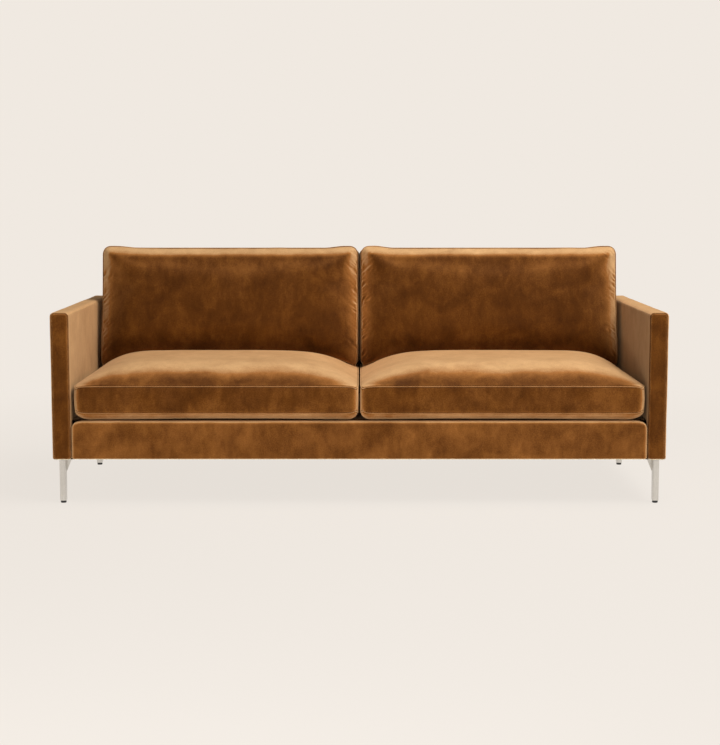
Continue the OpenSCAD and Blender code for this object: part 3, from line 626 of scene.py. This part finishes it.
def puff(piece, held, limit):
    """Blows a closed cover up a little with a cloth simulation; held points stay, creases are eased."""
    start = read_points(piece.data)
    group = piece.vertex_groups.new(name="held")
    group.add([int(i) for i in np.flatnonzero(held)], 1, "REPLACE")
    modifier = piece.modifiers.new("Cloth", "CLOTH")
    settings = modifier.settings
    settings.quality = 4
    settings.mass = 0.3
    settings.use_pressure = True
    settings.uniform_pressure_force = PRESSURE
    settings.vertex_group_mass = group.name
    settings.bending_stiffness = 0.3
    settings.shrink_min = -0.004
    settings.effector_weights.gravity = 0
    modifier.collision_settings.use_collision = False
    modifier.point_cache.frame_start = 1
    modifier.point_cache.frame_end = PUFF_FRAMES
    for step in range(1, PUFF_FRAMES + 1):
        bpy.context.scene.frame_set(step)
    evaluated = piece.evaluated_get(bpy.context.evaluated_depsgraph_get())
    end = read_points(evaluated.data)
    piece.modifiers.remove(modifier)
    piece.vertex_groups.clear()
    bpy.context.scene.frame_set(1)
    move = end - start
    length = np.maximum(np.linalg.norm(move, axis=1), 1e-9)
    move = move * (limit * np.tanh(length / limit) / length)[:, None]
    move = spread_out(piece.data, move, EASE_ROUNDS)
    write_points(piece.data, start + np.where(held[:, None], 0, move))


def plan_point(u, v, half_u, half_v, r):
    """Point of a rounded rectangle, and its outward direction, which is 1 long on the edge."""
    a = np.clip((np.abs(u) * half_u - (half_u - r)) / r, 0, 1)
    b = np.clip((np.abs(v) * half_v - (half_v - r)) / r, 0, 1)
    way_u = np.sign(u) * a * np.sqrt(1 - b * b / 2)
    way_v = np.sign(v) * b * np.sqrt(1 - a * a / 2)
    flat_u = np.sign(u) * np.minimum(np.abs(u) * half_u, half_u - r)
    flat_v = np.sign(v) * np.minimum(np.abs(v) * half_v, half_v - r)
    return flat_u + r * way_u, flat_v + r * way_v, way_u, way_v


def quarter_round(distance, reach):
    """Rises from 0 at an edge to 1 at the reach, as a quarter of an ellipse."""
    return np.sqrt(1 - (1 - np.clip(distance / reach, 0, 1)) ** 2)


def soft_step(start, end, value):
    share = np.clip((value - start) / (end - start), 0, 1)
    return share * share * (3 - 2 * share)


def soft_rise(distance, reach):
    """Rises from 0 at an edge to 1 at the reach, nearly straight."""
    return 1 - (1 - np.clip(distance / reach, 0, 1)) ** 1.4


def edge_fall(u):
    """Share of the crown across a seat cushion, from its inner side at -1 to the arm at 1."""
    power = np.where(u > 0, SEAT_EDGE_POWER["outer"], SEAT_EDGE_POWER["inner"])
    return 1 - np.abs(u) ** power


SEAT_LOW, SEAT_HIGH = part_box("seat_cover_right")
SEAT_FRONT = SEAT_LOW.y + 3 * MM
SEAT_REAR = SEAT_HIGH.y - 5 * MM
SEAT_MID_X = (SEAT_INNER_X + SEAT_OUTER_X) / 2
SEAT_MID_Y = (SEAT_FRONT + SEAT_REAR) / 2
SEAT_HALF_X = (SEAT_OUTER_X - SEAT_INNER_X) / 2
SEAT_HALF_Y = (SEAT_REAR - SEAT_FRONT) / 2
SEAT_SEAM_LOW = SEAT_LOW.z + SEAT_BELLY
SEAT_SEAM_HIGH = SEAT_SEAM_LOW + SEAT_BAND
SEAT_CROWN = SEAT_HIGH.z - SEAT_SEAM_HIGH - 0.8 * SEAT_PUFF
SEAT_ROLL_Y = SEAT_FRONT + SEAT_ROLL_SHARE * (SEAT_REAR - SEAT_FRONT)
SEAT_SLOPE_Y = SEAT_FRONT + SEAT_SLOPE_SHARE * (SEAT_REAR - SEAT_FRONT)


def seat_fall(y):
    """Share of the crown along a seat cushion: rolled in front, level, then falling to the rear."""
    roll = 1 - np.clip((SEAT_ROLL_Y - y) / (SEAT_ROLL_Y - SEAT_FRONT), 0, 1) ** SEAT_ROLL_POWER
    slope = np.clip((SEAT_REAR - y) / (SEAT_REAR - SEAT_SLOPE_Y), 0, 1)
    return np.where(y < SEAT_SLOPE_Y, roll, slope)


def seat_top(x, y):
    """Height of the top of the right seat cushion."""
    u = np.clip((x - SEAT_MID_X) / SEAT_HALF_X, -1, 1)
    return SEAT_SEAM_HIGH + SEAT_CROWN * edge_fall(u) * seat_fall(y)


def seat_form(u, v, w, side):
    """A seat cushion's points, for u across, v along and w from -1 at the bottom seam to 1 at the top."""
    x, y, way_x, way_y = plan_point(u, v, SEAT_HALF_X, SEAT_HALF_Y, SEAT_CORNER_R)
    band = 1 - w * w
    bulge_x = np.where(u < 0, SEAT_INNER_X - SEAT_GAP_X, SEAT_OUTER_BULGE)
    x = SEAT_MID_X + x + bulge_x * band * way_x
    y = SEAT_MID_Y + y + SEAT_FRONT_BULGE * band * way_y
    pinch = SEAT_PINCH * np.abs(u * v) ** 30
    z = (SEAT_SEAM_LOW + SEAT_SEAM_HIGH) / 2 + w * (SEAT_BAND / 2 - pinch)
    top = SEAT_SEAM_HIGH - pinch + SEAT_CROWN * edge_fall(u) * seat_fall(SEAT_MID_Y + v * SEAT_HALF_Y)
    across = quarter_round((1 + u) * SEAT_HALF_X, BELLY_REACH["inner"])
    across = across * quarter_round((1 - u) * SEAT_HALF_X, BELLY_REACH["outer"])
    along = soft_rise((1 + v) * SEAT_HALF_Y, BELLY_REACH["front"])
    along = along * quarter_round((1 - v) * SEAT_HALF_Y, BELLY_REACH["rear"])
    inner = (np.abs(u) < 1) & (np.abs(v) < 1)
    bottom = SEAT_SEAM_LOW + pinch - (SEAT_BELLY + pinch) * across * along
    z = np.where(inner & (w >= 1), top, np.where(inner & (w <= -1), bottom, z))
    return np.stack([side * x, y, z], axis=-1)


def back_face(z):
    """How far back the upholstered front of the back frame lies at a height."""
    return BACK_FOOT_Y + (z - DECK_Z) * math.tan(BACK_LEAN)


BACK_LOW, BACK_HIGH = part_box("back_cover_right")
BACK_FOOT_Z = SEAT_SEAM_HIGH + FOOT_GAP
CUSHION_FOOT_Y = back_face(BACK_FOOT_Z) - (BACK_BELLY + 0.3 * MM) / math.cos(BACK_LEAN)
TOE_Y = CUSHION_FOOT_Y - BACK_BAND * math.cos(BACK_LEAN)
TOE_Z = SEAT_SEAM_HIGH + SEAT_CROWN * float(seat_fall(np.array(TOE_Y))) + FOOT_GAP
TOE_RISE = (TOE_Z - BACK_FOOT_Z - BACK_BAND * math.sin(BACK_LEAN)) / math.cos(BACK_LEAN)
BACK_MID_X = (BACK_INNER_X + BACK_OUTER_X) / 2
BACK_HALF_X = (BACK_OUTER_X - BACK_INNER_X) / 2


def back_form(u, v, w, side):
    """A back cushion's points, for u across, v up and w from -1 at the rear seam to 1 at the front."""
    t = (w + 1) / 2
    low = TOE_RISE * t
    half = (BACK_RISE - low) / 2
    x, up, way_x, way_up = plan_point(u, v, BACK_HALF_X, half, BACK_CORNER_R)
    band = 1 - w * w
    bulge_x = np.where(u < 0, BACK_INNER_BULGE * band ** 2.5, BACK_OUTER_BULGE * band)
    x = BACK_MID_X + x + bulge_x * way_x
    x = x + BACK_FLARE * np.clip(u, 0, 1) * np.clip((0.2 - v) / 1.2, 0, 1) ** 1.5
    ear = EAR_H * soft_step(EAR_START, EAR_FULL, np.abs(u)) * np.maximum(v, 0) ** 3
    up = low + half + up + ear + BACK_TOP_BULGE * band * np.maximum(way_up, 0)
    inner = (np.abs(u) < 1) & (np.abs(v) < 1)
    reach = BACK_TOP_REACH + (BACK_SIDE_REACH - BACK_TOP_REACH) * soft_step(0, 0.7, 1 - v)
    sides = 1 - (1 - np.clip((1 - np.abs(u)) * BACK_HALF_X / reach, 0, 1)) ** 2.6
    top = 1 - (1 - np.clip((1 - v) * half / BACK_TOP_REACH, 0, 1)) ** 2.2
    foot = np.maximum(1 - np.abs(v) ** 5, 0) ** 0.6
    dome = np.maximum((1 - u * u) * (1 - v * v), 0) ** 0.8
    crown = (1 - BACK_DOME) * sides * np.where(v > 0, top, foot) + BACK_DOME * dome
    flat = np.minimum(1, 2.2 * (1 - np.abs(u) ** 8)) * np.minimum(1, 2.2 * (1 - np.abs(v) ** 8))
    rear = np.where(inner & (w <= -1), BACK_BELLY * flat, 0)
    deep = np.where(inner & (w >= 1), -BACK_CROWN * crown, rear) - BACK_BAND * t
    y = CUSHION_FOOT_Y + up * math.sin(BACK_LEAN) + deep * math.cos(BACK_LEAN)
    z = BACK_FOOT_Z + up * math.cos(BACK_LEAN) - deep * math.sin(BACK_LEAN)
    fall = SEAT_CROWN * seat_fall(y) * (1 - edge_fall(np.clip(u, -1, 1)))
    droop = np.clip((-v - 0.3) / 0.7, 0, 1) ** 2
    return np.stack([side * x, y, z - fall * droop], axis=-1)


def cushion_loops(halves, steps):
    """Loop places of a cushion in units of its halves, closer together beside the seams."""
    places = []
    for half, step in zip(halves, steps):
        near = [d / half for d in SEAM_LOOPS]
        places.append(loop_places(-1, 1, near, near, step / half))
    return places


def seam_ring(form, places, w, side):
    """The closed path of a cushion's seam at w."""
    us, vs = places[0], places[1]
    square = [(u, -1) for u in us[:-1]] + [(1, v) for v in vs[:-1]]
    square += [(u, 1) for u in us[:0:-1]] + [(-1, v) for v in vs[:0:-1]]
    u, v = (np.array(c) for c in zip(*square))
    return [Vector(p) for p in form(u, v, np.full(len(u), float(w)), side)]


def make_cushion(body, form, places, side, cover, limit, swell, seam_depth):
    """A boxed cushion: its form, the simulated puff between the seams, and the seams drawn in."""
    bm = grid_box(places)
    u, v, w = bmesh_points(bm).T
    edge = (np.abs(u) > 1 - 1e-6) | (np.abs(v) > 1 - 1e-6)
    held = edge & ((np.abs(w) > 1 - 1e-6) | (u < -1 + 1e-6))
    set_bmesh_points(bm, form(u, v, w, side))
    piece = make_piece(body, bm, body, "velvet", cover)
    puff(piece, held, limit)
    subdivide(piece)
    soften(piece, **swell)
    rings = [seam_ring(form, places, w, side) for w in (-1, 1)]
    for ring in rings:
        press_seam(piece, dense_path(ring, 3 * MM, True), seam_depth, width=3.6 * MM)
    return piece, rings


def keep_clear(piece, side, test):
    """Flattens a cushion where its neighbour or what it rests on stops it, and paints shade there."""
    points = read_points(piece.data)
    points[:, 0] *= side
    moved, touching = test(points, side)
    moved[:, 0] *= side
    write_points(piece.data, moved)
    paint_shade_on_pile(piece, touching)


def ramp_up(value, start, length):
    """0 up to the start, and then rising to 1 over the length above it."""
    return np.clip((value - start) / length, 0, 1)


def ramp_down(value, start, length):
    """0 down to the start, and then rising to 1 over the length below it."""
    return ramp_up(-value, -start, length)


def gap_depth(y, front):
    """How deep in a gap a place is, from 0 where one sees into it to 1 where it is out of sight."""
    return ramp_up(y, front + 60 * MM, 120 * MM)


def gap_shade(depth):
    """Painted shade of a covered place: nearly black near the front of a gap, and less dark deeper in it.
    """
    return GAP_SHADE + (CONTACT_SHADE - GAP_SHADE) * depth


def seat_rest(points, _side):
    """Stops a seat cushion at its neighbour, the deck, the back frame and the back cushion's foot."""
    moved = points.copy()
    moved[:, 0] = np.maximum(moved[:, 0], SEAT_GAP_X)
    moved[:, 2] = np.maximum(moved[:, 2], DECK_Z + 0.8 * MM)
    moved[:, 1] = np.minimum(moved[:, 1], back_face(moved[:, 2]) - 1.5 * MM)
    loose = 10 * MM * (1 - ramp_up(moved[:, 1], TOE_Y + 15 * MM, 40 * MM))
    moved[:, 2] = np.minimum(moved[:, 2], seat_top(moved[:, 0], moved[:, 1]) + loose)
    x, y, z = moved.T
    # Painted shade on the sides beside the neighbour and the arm, and on the bottom near the deck
    inner = ramp_down(x, SEAT_GAP_X + 2 * MM, 1.5 * MM)
    beside = np.maximum(inner, ramp_up(x, SEAT_OUTER_X - 1 * MM, 2 * MM))
    beside = beside * ramp_up(y, SEAT_FRONT + 14 * MM, 12 * MM) * ramp_down(z, SEAT_SEAM_HIGH, 6 * MM)
    below = ramp_down(z, DECK_Z + 7 * MM, 6 * MM)
    depth = np.maximum(gap_depth(y, SEAT_FRONT), 0.6 * ramp_up(x, SEAT_MID_X, SEAT_HALF_X))
    return moved, np.maximum(beside, below) * gap_shade(depth)


def back_rest(points, side):
    """Stops a back cushion at its neighbour, the arm, the back frame and the seat cushion."""
    moved = points.copy()
    meeting = side * MEETING_WAVE * np.sin(2 * math.pi * points[:, 1] / MEETING_WAVE_L)
    moved[:, 0] = np.clip(moved[:, 0], BACK_GAP_X + meeting, ARM_X - 2 * MM)
    moved[:, 1] = np.minimum(moved[:, 1], back_face(moved[:, 2]) - 0.5 * MM)
    floor = seat_top(moved[:, 0], moved[:, 1]) + FOOT_GAP
    over = moved[:, 1] < SEAT_REAR
    moved[:, 2] = np.where(over, np.maximum(moved[:, 2], floor), moved[:, 2])
    x, y, z = moved.T
    # Painted shade on the sides beside the neighbour and the arm, and on the foot where it rests on the
    # seat cushion
    upright_y = y - (z - BACK_FOOT_Z) * math.tan(BACK_LEAN)
    inner = ramp_down(x, BACK_INNER_X + 1 * MM, 1 * MM)
    beside = np.maximum(inner, ramp_up(x, BACK_OUTER_X + 2 * MM, 3 * MM))
    beside = beside * ramp_up(upright_y, TOE_Y + 8 * MM, 10 * MM)
    below = np.where(over, ramp_down(z, floor + 3 * MM, 3 * MM), 0)
    depth = np.maximum(ramp_up(upright_y, TOE_Y + 60 * MM, 80 * MM), x > BACK_MID_X)
    return moved, np.maximum(beside, below) * gap_shade(depth)


def soften(piece, size, height, seed):
    """Uneven stuffing: low swells and hollows, that fade out at the foot."""
    points = read_points(piece.data)
    swell = smooth_noise(points, size, seed) + 0.5 * smooth_noise(points, size * 0.42, seed + 3)
    swell = swell * ramp_up(points[:, 2], points[:, 2].min() + 1 * MM, 25 * MM)
    push_out(piece, height * swell)


def pucker_sides(piece, side, low, high, seed):
    """Slanting puckers that run from the side seams into the front of a back cushion."""
    points = read_points(piece.data)
    x = points[:, 0] * side - BACK_MID_X
    gap = np.clip(BACK_HALF_X - np.abs(x), 0, None)
    front = np.clip(-read_normals(piece.data)[:, 1] * 1.4, 0, 1)
    ends = np.where(x > 0, 0.37, 0)
    swerve = 7 * MM * smooth_noise(points * [1, 0, 1], 50 * MM, seed)
    across = points[:, 2] - PUCKER_SLANT * gap + ends * PUCKER_PITCH + swerve
    along = gap + PUCKER_SLANT * points[:, 2]
    ridge = smooth_noise(np.stack([along / 4, across, 0 * across], axis=-1), PUCKER_PITCH, seed + 2)
    ridge = 1 - 3.4 * np.abs(ridge)
    strength = 0.6 + 1.2 * smooth_noise(points * [0.3, 0, 1], 40 * MM, seed + 9)
    reach = PUCKER_REACH * (1 + 0.9 * smooth_noise(points * [0, 0, 1], 26 * MM, seed + 5))
    fade = np.exp(-((gap / reach) ** 1.5)) * ramp_up(gap, 0, 4 * MM)
    stop = ramp_up(points[:, 2], low, 30 * MM) * ramp_down(points[:, 2], high, 14 * MM)
    push_out(piece, PUCKER_H * ridge * np.clip(strength, 0.15, 1.2) * fade * stop * front)


def press_zip(piece, zip_node, out, body):
    """Opens the channel in which a zip lies, with a sewn edge round it."""
    low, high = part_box(zip_node)
    centre = np.array((low + high) / 2)
    along = np.array((0, -out[2], out[1]))
    out = np.array(out)
    half_l = (high.x - low.x) / 2 + ZIP_END_ROOM
    points = read_points(piece.data)
    place = points - centre
    depth = place @ out
    inside = (np.abs(place[:, 0]) < half_l) & (np.abs(place @ along) < ZIP_HALF_W) & (depth > -ZIP_DEPTH)
    move = np.where(inside, np.minimum(0, -ZIP_SUNK - depth), 0)
    write_points(piece.data, points + move[:, None] * out)
    end = np.array((half_l + ZIP_EDGE_GAP, 0, 0))
    edge = along * (ZIP_HALF_W + ZIP_EDGE_GAP)
    rim = centre + out * depth[inside].max()
    path = [Vector(rim + i * end + j * edge) for i, j in ((-1, -1), (1, -1), (1, 1), (-1, 1))]
    add_welts(piece.name + "_zip_edge", [dense_path(path, 12 * MM, True)], body, radius=THIN_WELT_R)


def make_seats():
    places = cushion_loops((SEAT_HALF_X, SEAT_HALF_Y, SEAT_BAND / 2), (PANEL_STEP,) * 3)
    for label, side in SIDES.items():
        body = "seat_cushion_" + label
        swell = {"size": 150 * MM, "height": 1.0 * MM, "seed": 11 + side}
        piece, rings = make_cushion(
            body, seat_form, places, side, "seat_cover_" + label, SEAT_PUFF, swell, seam_depth=2.6 * MM,
        )
        keep_clear(piece, side, seat_rest)
        _, y, z = read_points(piece.data).T
        # Painted shade on the rolled front of the top and on the underside, painted light on the band
        rolled = ramp_down(y, SEAT_FRONT + 110 * MM, 100 * MM) * ramp_up(z, SEAT_SEAM_HIGH + 1 * MM, 6 * MM)
        under = ramp_down(z, SEAT_SEAM_LOW, 3 * MM)
        band = (z < SEAT_SEAM_HIGH) & (under == 0)
        base = 0.36 * rolled + 0.2 * under - 0.12 * band
        shade_and_brush_pile(piece, base, spread=0.16, seed=71 + side)
        press_zip(piece, "seat_zip_" + label, (0, 1, 0), body)
        add_welts(body + "_seams", rings, body)


def make_backs():
    places = cushion_loops((BACK_HALF_X, BACK_RISE / 2, BACK_BAND / 2), (PANEL_STEP, 6 * MM, PANEL_STEP))
    tilt = math.atan2(TOE_Z - BACK_FOOT_Z, CUSHION_FOOT_Y - TOE_Y)
    for label, side in SIDES.items():
        body = "back_cushion_" + label
        swell = {"size": 130 * MM, "height": 1.6 * MM, "seed": 23 + side}
        piece, rings = make_cushion(
            body, back_form, places, side, "back_cover_" + label, BACK_PUFF, swell, seam_depth=2.0 * MM,
        )
        pucker_sides(piece, side, low=SEAT_SEAM_HIGH, high=BACK_HIGH.z, seed=31 + side)
        keep_clear(piece, side, back_rest)
        x, _, z = read_points(piece.data).T
        # Painted shade growing towards the bottom, painted light all over and more at the sides
        low = ramp_down(z, BACK_HIGH.z - 80 * MM, 270 * MM)
        edge = ramp_up(np.abs(side * x - BACK_MID_X) - BACK_HALF_X, -45 * MM, 30 * MM)
        shade_and_brush_pile(piece, 0.2 * low - 0.08 - 0.22 * edge, spread=0.12, seed=81 + side)
        press_zip(piece, "back_zip_" + label, (0, -math.sin(tilt), -math.cos(tilt)), body)
        add_welts(body + "_seams", rings, body, radius=THIN_WELT_R)


def arc_loops(r, arcs=4):
    """Distances from an edge at which a face is cut, so that its rounding has even steps."""
    return [r * (1 - math.tan(math.radians(45 - 45 * k / arcs))) for k in range(arcs + 1)]


def rounded_box(low, high, radii, hem, step):
    """A closed box with padded edges: radii along x, y and z, and a tighter one at its hem."""
    places = []
    for axis in range(3):
        near = arc_loops(radii[axis])
        near_low = arc_loops(hem) if axis == 2 else near
        places.append(loop_places(low[axis], high[axis], near_low, near, step))
    bm = grid_box(places)
    points = bmesh_points(bm)
    low_r = np.array([radii[0], radii[1], hem])
    high_r = np.array(radii)
    inner = np.clip(points, np.array(low) + low_r, np.array(high) - high_r)
    radius = np.where(points < inner, low_r, high_r)
    way = (points - inner) / radius
    length = np.linalg.norm(way, axis=1)
    scale = np.abs(way).max(axis=1) / np.maximum(length, 1e-9)
    way = way * np.where(length > 1, scale, 1)[:, None]
    set_bmesh_points(bm, inner + way * radius)
    return bm


def panel_seam(low, high, bottom, insets, r, rear=False):
    """A seam round a front or rear panel: up one side, across the top and down the other."""
    left, right, top = insets
    path = [(low.x + left, bottom)]
    for start, centre, wide in ((180, low.x + r, r - left), (90, high.x - r, r - right)):
        for k in range(7):
            a = math.radians(start - 15 * k)
            path.append((centre + wide * math.cos(a), high.z - r + (r - top) * math.sin(a)))
    path.append((high.x - right, bottom))
    points = []
    for x, z in path:
        out = math.hypot(max(low.x + r - x, x - high.x + r, 0), max(z - high.z + r, 0))
        sunk = r - math.sqrt(max(r * r - out * out, 0))
        points.append(Vector((x, high.y - sunk if rear else low.y + sunk, z)))
    return dense_path(points, 4 * MM, False)


def sew_panel(name, piece, seams):
    """Draws the cloth in along a panel's seams, and lays a thin raised seam in each."""
    for seam in seams:
        press_seam(piece, seam, depth=1.4 * MM, width=3 * MM)
    laid = [laid_on(piece, seam, lift=0.3 * MM) for seam in seams]
    add_welts(name, laid, "frame", closed=False, radius=PANEL_WELT_R, highlight=PANEL_WELT_HIGHLIGHT)


def make_arms():
    for label, side in SIDES.items():
        low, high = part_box("arm_cover_" + label)
        bottom = low.z - HEM_BELOW
        bm = rounded_box((low.x, low.y, bottom), high, (EDGE_R,) * 3, HEM_R, PANEL_STEP)
        piece = make_piece("arm_" + label, bm, "frame", "velvet", "arm_cover_" + label)
        subdivide(piece)
        soften(piece, size=140 * MM, height=1.0 * MM, seed=41 + side)
        outer, inner, top = 8 * MM, 3 * MM, 3 * MM
        insets = (outer, inner, top) if side < 0 else (inner, outer, top)
        seams = [panel_seam(low, high, bottom + HEM_R, insets, EDGE_R, rear) for rear in (False, True)]
        sew_panel("arm_%s_seams" % label, piece, seams)
        x, y, z = read_points(piece.data).T
        # Painted shade on the inner face where the seat cushion hides it
        inward = ramp_down(side * x, ARM_X + 4 * MM, 3 * MM)
        covered = ramp_up(y, SEAT_FRONT + 22 * MM, 30 * MM) * ramp_down(z, SEAT_SEAM_HIGH, 60 * MM)
        paint_shade_on_pile(piece, inward * covered * gap_shade(gap_depth(y, SEAT_FRONT)))
        # An even painted shade on the rest of the inner face, darker on the right arm, away from the key
        # light; nap patches only away from it
        outward = ramp_up(side * x, ARM_X + 2 * MM, 6 * MM)
        base = INNER_ARM_SHADE[label] * (outward == 0)
        shade_and_brush_pile(piece, base, spread=0.12 * outward, seed=91 + side)


def make_border():
    """The upholstered front of the base, square behind, its top corners rounded down to the arms."""
    low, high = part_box("border_cover")
    bottom = low.z - HEM_BELOW
    top_rear = (high.x, high.y + EDGE_R, high.z - 0.3 * MM)
    bm = rounded_box((low.x, low.y, bottom), top_rear, (EDGE_R,) * 3, HEM_R, PANEL_STEP)
    points = bmesh_points(bm)
    points[:, 1] = np.minimum(points[:, 1], high.y)
    drop = BORDER_DROP * (1 - quarter_round(high.x - np.abs(points[:, 0]), BORDER_REACH))
    points[:, 2] -= drop * np.clip((points[:, 2] - bottom) / (high.z - bottom), 0, 1) ** 2
    set_bmesh_points(bm, points)
    piece = make_piece("seat_border", bm, "frame", "velvet", "border_cover")
    subdivide(piece)
    soften(piece, size=140 * MM, height=0.8 * MM, seed=53)
    # Painted light: the whole border paler
    shade_and_brush_pile(piece, base=-0.3, spread=0.16, seed=53)


def make_back_frame():
    """The padded back frame, leaning in front, upright behind and butted against the arms."""
    low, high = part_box("back_frame_cover")
    bottom = low.z - HEM_BELOW
    front = back_face(high.z)
    bm = rounded_box((low.x, front, bottom), high, (END_R, EDGE_R, EDGE_R), HEM_R, BACK_PANEL_STEP)
    points = bmesh_points(bm)
    share = (high.y - points[:, 1]) / (high.y - front)
    lean = (high.z - np.maximum(points[:, 2], DECK_Z)) * math.tan(BACK_LEAN)
    points[:, 1] -= share * lean
    set_bmesh_points(bm, points)
    piece = make_piece("back_frame_upholstery", bm, "frame", "velvet", "back_frame_cover")
    subdivide(piece)
    soften(piece, size=160 * MM, height=1.0 * MM, seed=61)
    seam = panel_seam(low, high, bottom + HEM_R, (8 * MM,) * 3, EDGE_R, rear=True)
    sew_panel("back_frame_seam", piece, [seam])
    # Painted shade on the front face, behind the back cushions
    _, y, z = read_points(piece.data).T
    paint_shade_on_pile(piece, CONTACT_SHADE * ramp_down(y, back_face(z) + 4 * MM, 3 * MM))


def make_sheet(name, cad_node, slot, z, sag, lip, face_down=False):
    """A stretched cloth as large as its CAD node, with its sag and the lip turned down in front."""
    low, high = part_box(cad_node)
    width, length = high.x - low.x, high.y - low.y
    bm = bmesh.new()
    columns, rows = round(width / CLOTH_STEP), round(length / CLOTH_STEP)
    bmesh.ops.create_grid(bm, x_segments=columns, y_segments=rows, size=0.5)
    for v in bm.verts:
        u, w = 2 * v.co.x, 2 * v.co.y
        ripple = 0.25 * sag * noise.noise(Vector((9 * u, 5 * w, 1)))
        dip = (sag + ripple) * (1 - u ** 4) * (1 - w ** 4)
        v.co = ((low.x + high.x) / 2 + u * width / 2, (low.y + high.y) / 2 + w * length / 2, z - dip)
    if lip:
        front = [e for e in bm.edges if all(v.co.y < low.y + 1 * MM for v in e.verts)]
        lowered = bmesh.ops.extrude_edge_only(bm, edges=front)["geom"]
        for v in lowered:
            if isinstance(v, bmesh.types.BMVert):
                v.co.z -= lip
        bmesh.ops.recalc_face_normals(bm, faces=bm.faces)
    if face_down:
        bmesh.ops.reverse_faces(bm, faces=bm.faces)
    piece = make_piece(name, bm, "frame", slot, cad_node)
    # Painted shade, nearly black at the front edge and less dark further back; the dust cloth's material
    # does not use it
    paint_shade_on_pile(piece, gap_shade(gap_depth(read_points(piece.data)[:, 1], low.y)))
    thick = piece.modifiers.new("Cloth thickness", "SOLIDIFY")
    thick.thickness = CLOTH_T
    thick.offset = -1


def put_out(tree, kind, thrown, shown):
    """Ends a tree with the light it throws on the object and the look it shows, also in a mirror."""
    path = node(tree, "ShaderNodeLightPath").outputs
    seen = maths(tree, "MAXIMUM", path["Is Glossy Ray"], path["Is Transmission Ray"])
    seen = maths(tree, "MAXIMUM", path["Is Camera Ray"], seen)
    inputs = {"Fac": seen, 1: thrown.outputs[0], 2: shown.outputs[0]}
    mix = node(tree, "ShaderNodeMixShader", inputs)
    tree.links.new(mix.outputs[0], node(tree, kind).inputs["Surface"])


def make_stage():
    """The floor, drawn as the pale background with the object's soft shadow on it."""
    bm = bmesh.new()
    bmesh.ops.create_grid(bm, x_segments=1, y_segments=1, size=60)
    floor = add_mesh("floor", bm)
    material = bpy.data.materials.new("floor")
    material.use_nodes = True
    tree = material.node_tree
    tree.nodes.clear()
    reach = node(tree, "ShaderNodeVectorMath", {0: object_place(tree)}, operation="LENGTH").outputs["Value"]
    limits = {"Value": reach, "From Min": FLOOR_NEAR, "From Max": FLOOR_FAR, "To Min": 1, "To Max": 0}
    near = node(tree, "ShaderNodeMapRange", limits, interpolation_type="SMOOTHSTEP").outputs["Result"]
    plain = node(tree, "ShaderNodeEmission", {"Color": (*BACKGROUND, 1), "Strength": 1})
    glow = node(tree, "ShaderNodeEmission", {"Color": (*BACKGROUND, 1), "Strength": FLOOR_GLOW})
    matte = node(tree, "ShaderNodeBsdfDiffuse", {"Color": (*[c * FLOOR_MATTE for c in BACKGROUND], 1)})
    shaded = node(tree, "ShaderNodeAddShader", {0: glow.outputs[0], 1: matte.outputs[0]})
    shown = node(tree, "ShaderNodeMixShader", {"Fac": near, 1: plain.outputs[0], 2: shaded.outputs[0]})
    dull = node(tree, "ShaderNodeBsdfDiffuse", {"Color": (*[c * FLOOR_BOUNCE for c in BACKGROUND], 1)})
    put_out(tree, "ShaderNodeOutputMaterial", thrown=dull, shown=shown)
    floor.data.materials.append(material)


def make_sky():
    """The plain background, with a weaker light than it looks."""
    world = bpy.data.worlds.new("studio")
    bpy.context.scene.world = world
    world.use_nodes = True
    tree = world.node_tree
    tree.nodes.clear()
    plain = node(tree, "ShaderNodeBackground", {"Color": (*BACKGROUND, 1), "Strength": 1})
    light = node(tree, "ShaderNodeBackground", {"Color": (1, 0.98, 0.95, 1), "Strength": SKY_LIGHT})
    put_out(tree, "ShaderNodeOutputWorld", thrown=light, shown=plain)


def add_softbox(name, place, target, size, power, mirrored=True):
    """A rectangular light that the camera never sees, and that metal mirrors or not."""
    lamp = bpy.data.lights.new(name, "AREA")
    lamp.shape = "RECTANGLE"
    lamp.size, lamp.size_y = size
    lamp.energy = power
    holder = add_object(name, lamp)
    holder.location = place
    holder.rotation_euler = (Vector(target) - Vector(place)).to_track_quat("-Z", "Y").to_euler()
    holder.visible_camera = False
    holder.visible_glossy = mirrored


def make_camera():
    camera = add_object("camera", bpy.data.cameras.new("camera"))
    camera.data.lens = CAMERA_LENS
    camera.data.sensor_width = CAMERA_SENSOR
    camera.location = CAMERA_PLACE
    camera.rotation_euler = (math.radians(90 - CAMERA_PITCH), 0, 0)
    bpy.context.scene.camera = camera


bpy.context.scene.view_settings.view_transform = "Standard"
make_camera()
dress_frame()
make_seats()
make_backs()
make_arms()
make_border()
make_back_frame()
make_sheet(
    "deck_cloth", "deck_cover", "velvet", z=DECK_Z + 0.2 * MM, sag=0, lip=DECK_LIP,
)
make_sheet(
    "dust_cloth", "dust_cover", "dust_cloth", z=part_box("dust_cover")[1].z - 2 * CLOTH_T, sag=DUST_SAG,
    lip=0, face_down=True,
)
make_stage()
make_sky()
add_softbox("overhead", (1.7, -0.4, 4.6), target=(0.1, -0.1, 0.4), size=(2.6, 2.6), power=108)
add_softbox("key", (3.0, -2.8, 5.2), target=(0, 0, 0.45), size=(3.0, 3.0), power=188)
add_softbox("front", (-0.7, -6.0, 1.1), (0, 0, 0.35), size=(3.2, 1.5), power=28, mirrored=False)
add_softbox("low", (-0.2, -2.8, 0.15), (0, -0.4, 0.30), size=(4.2, 0.3), power=37, mirrored=False)
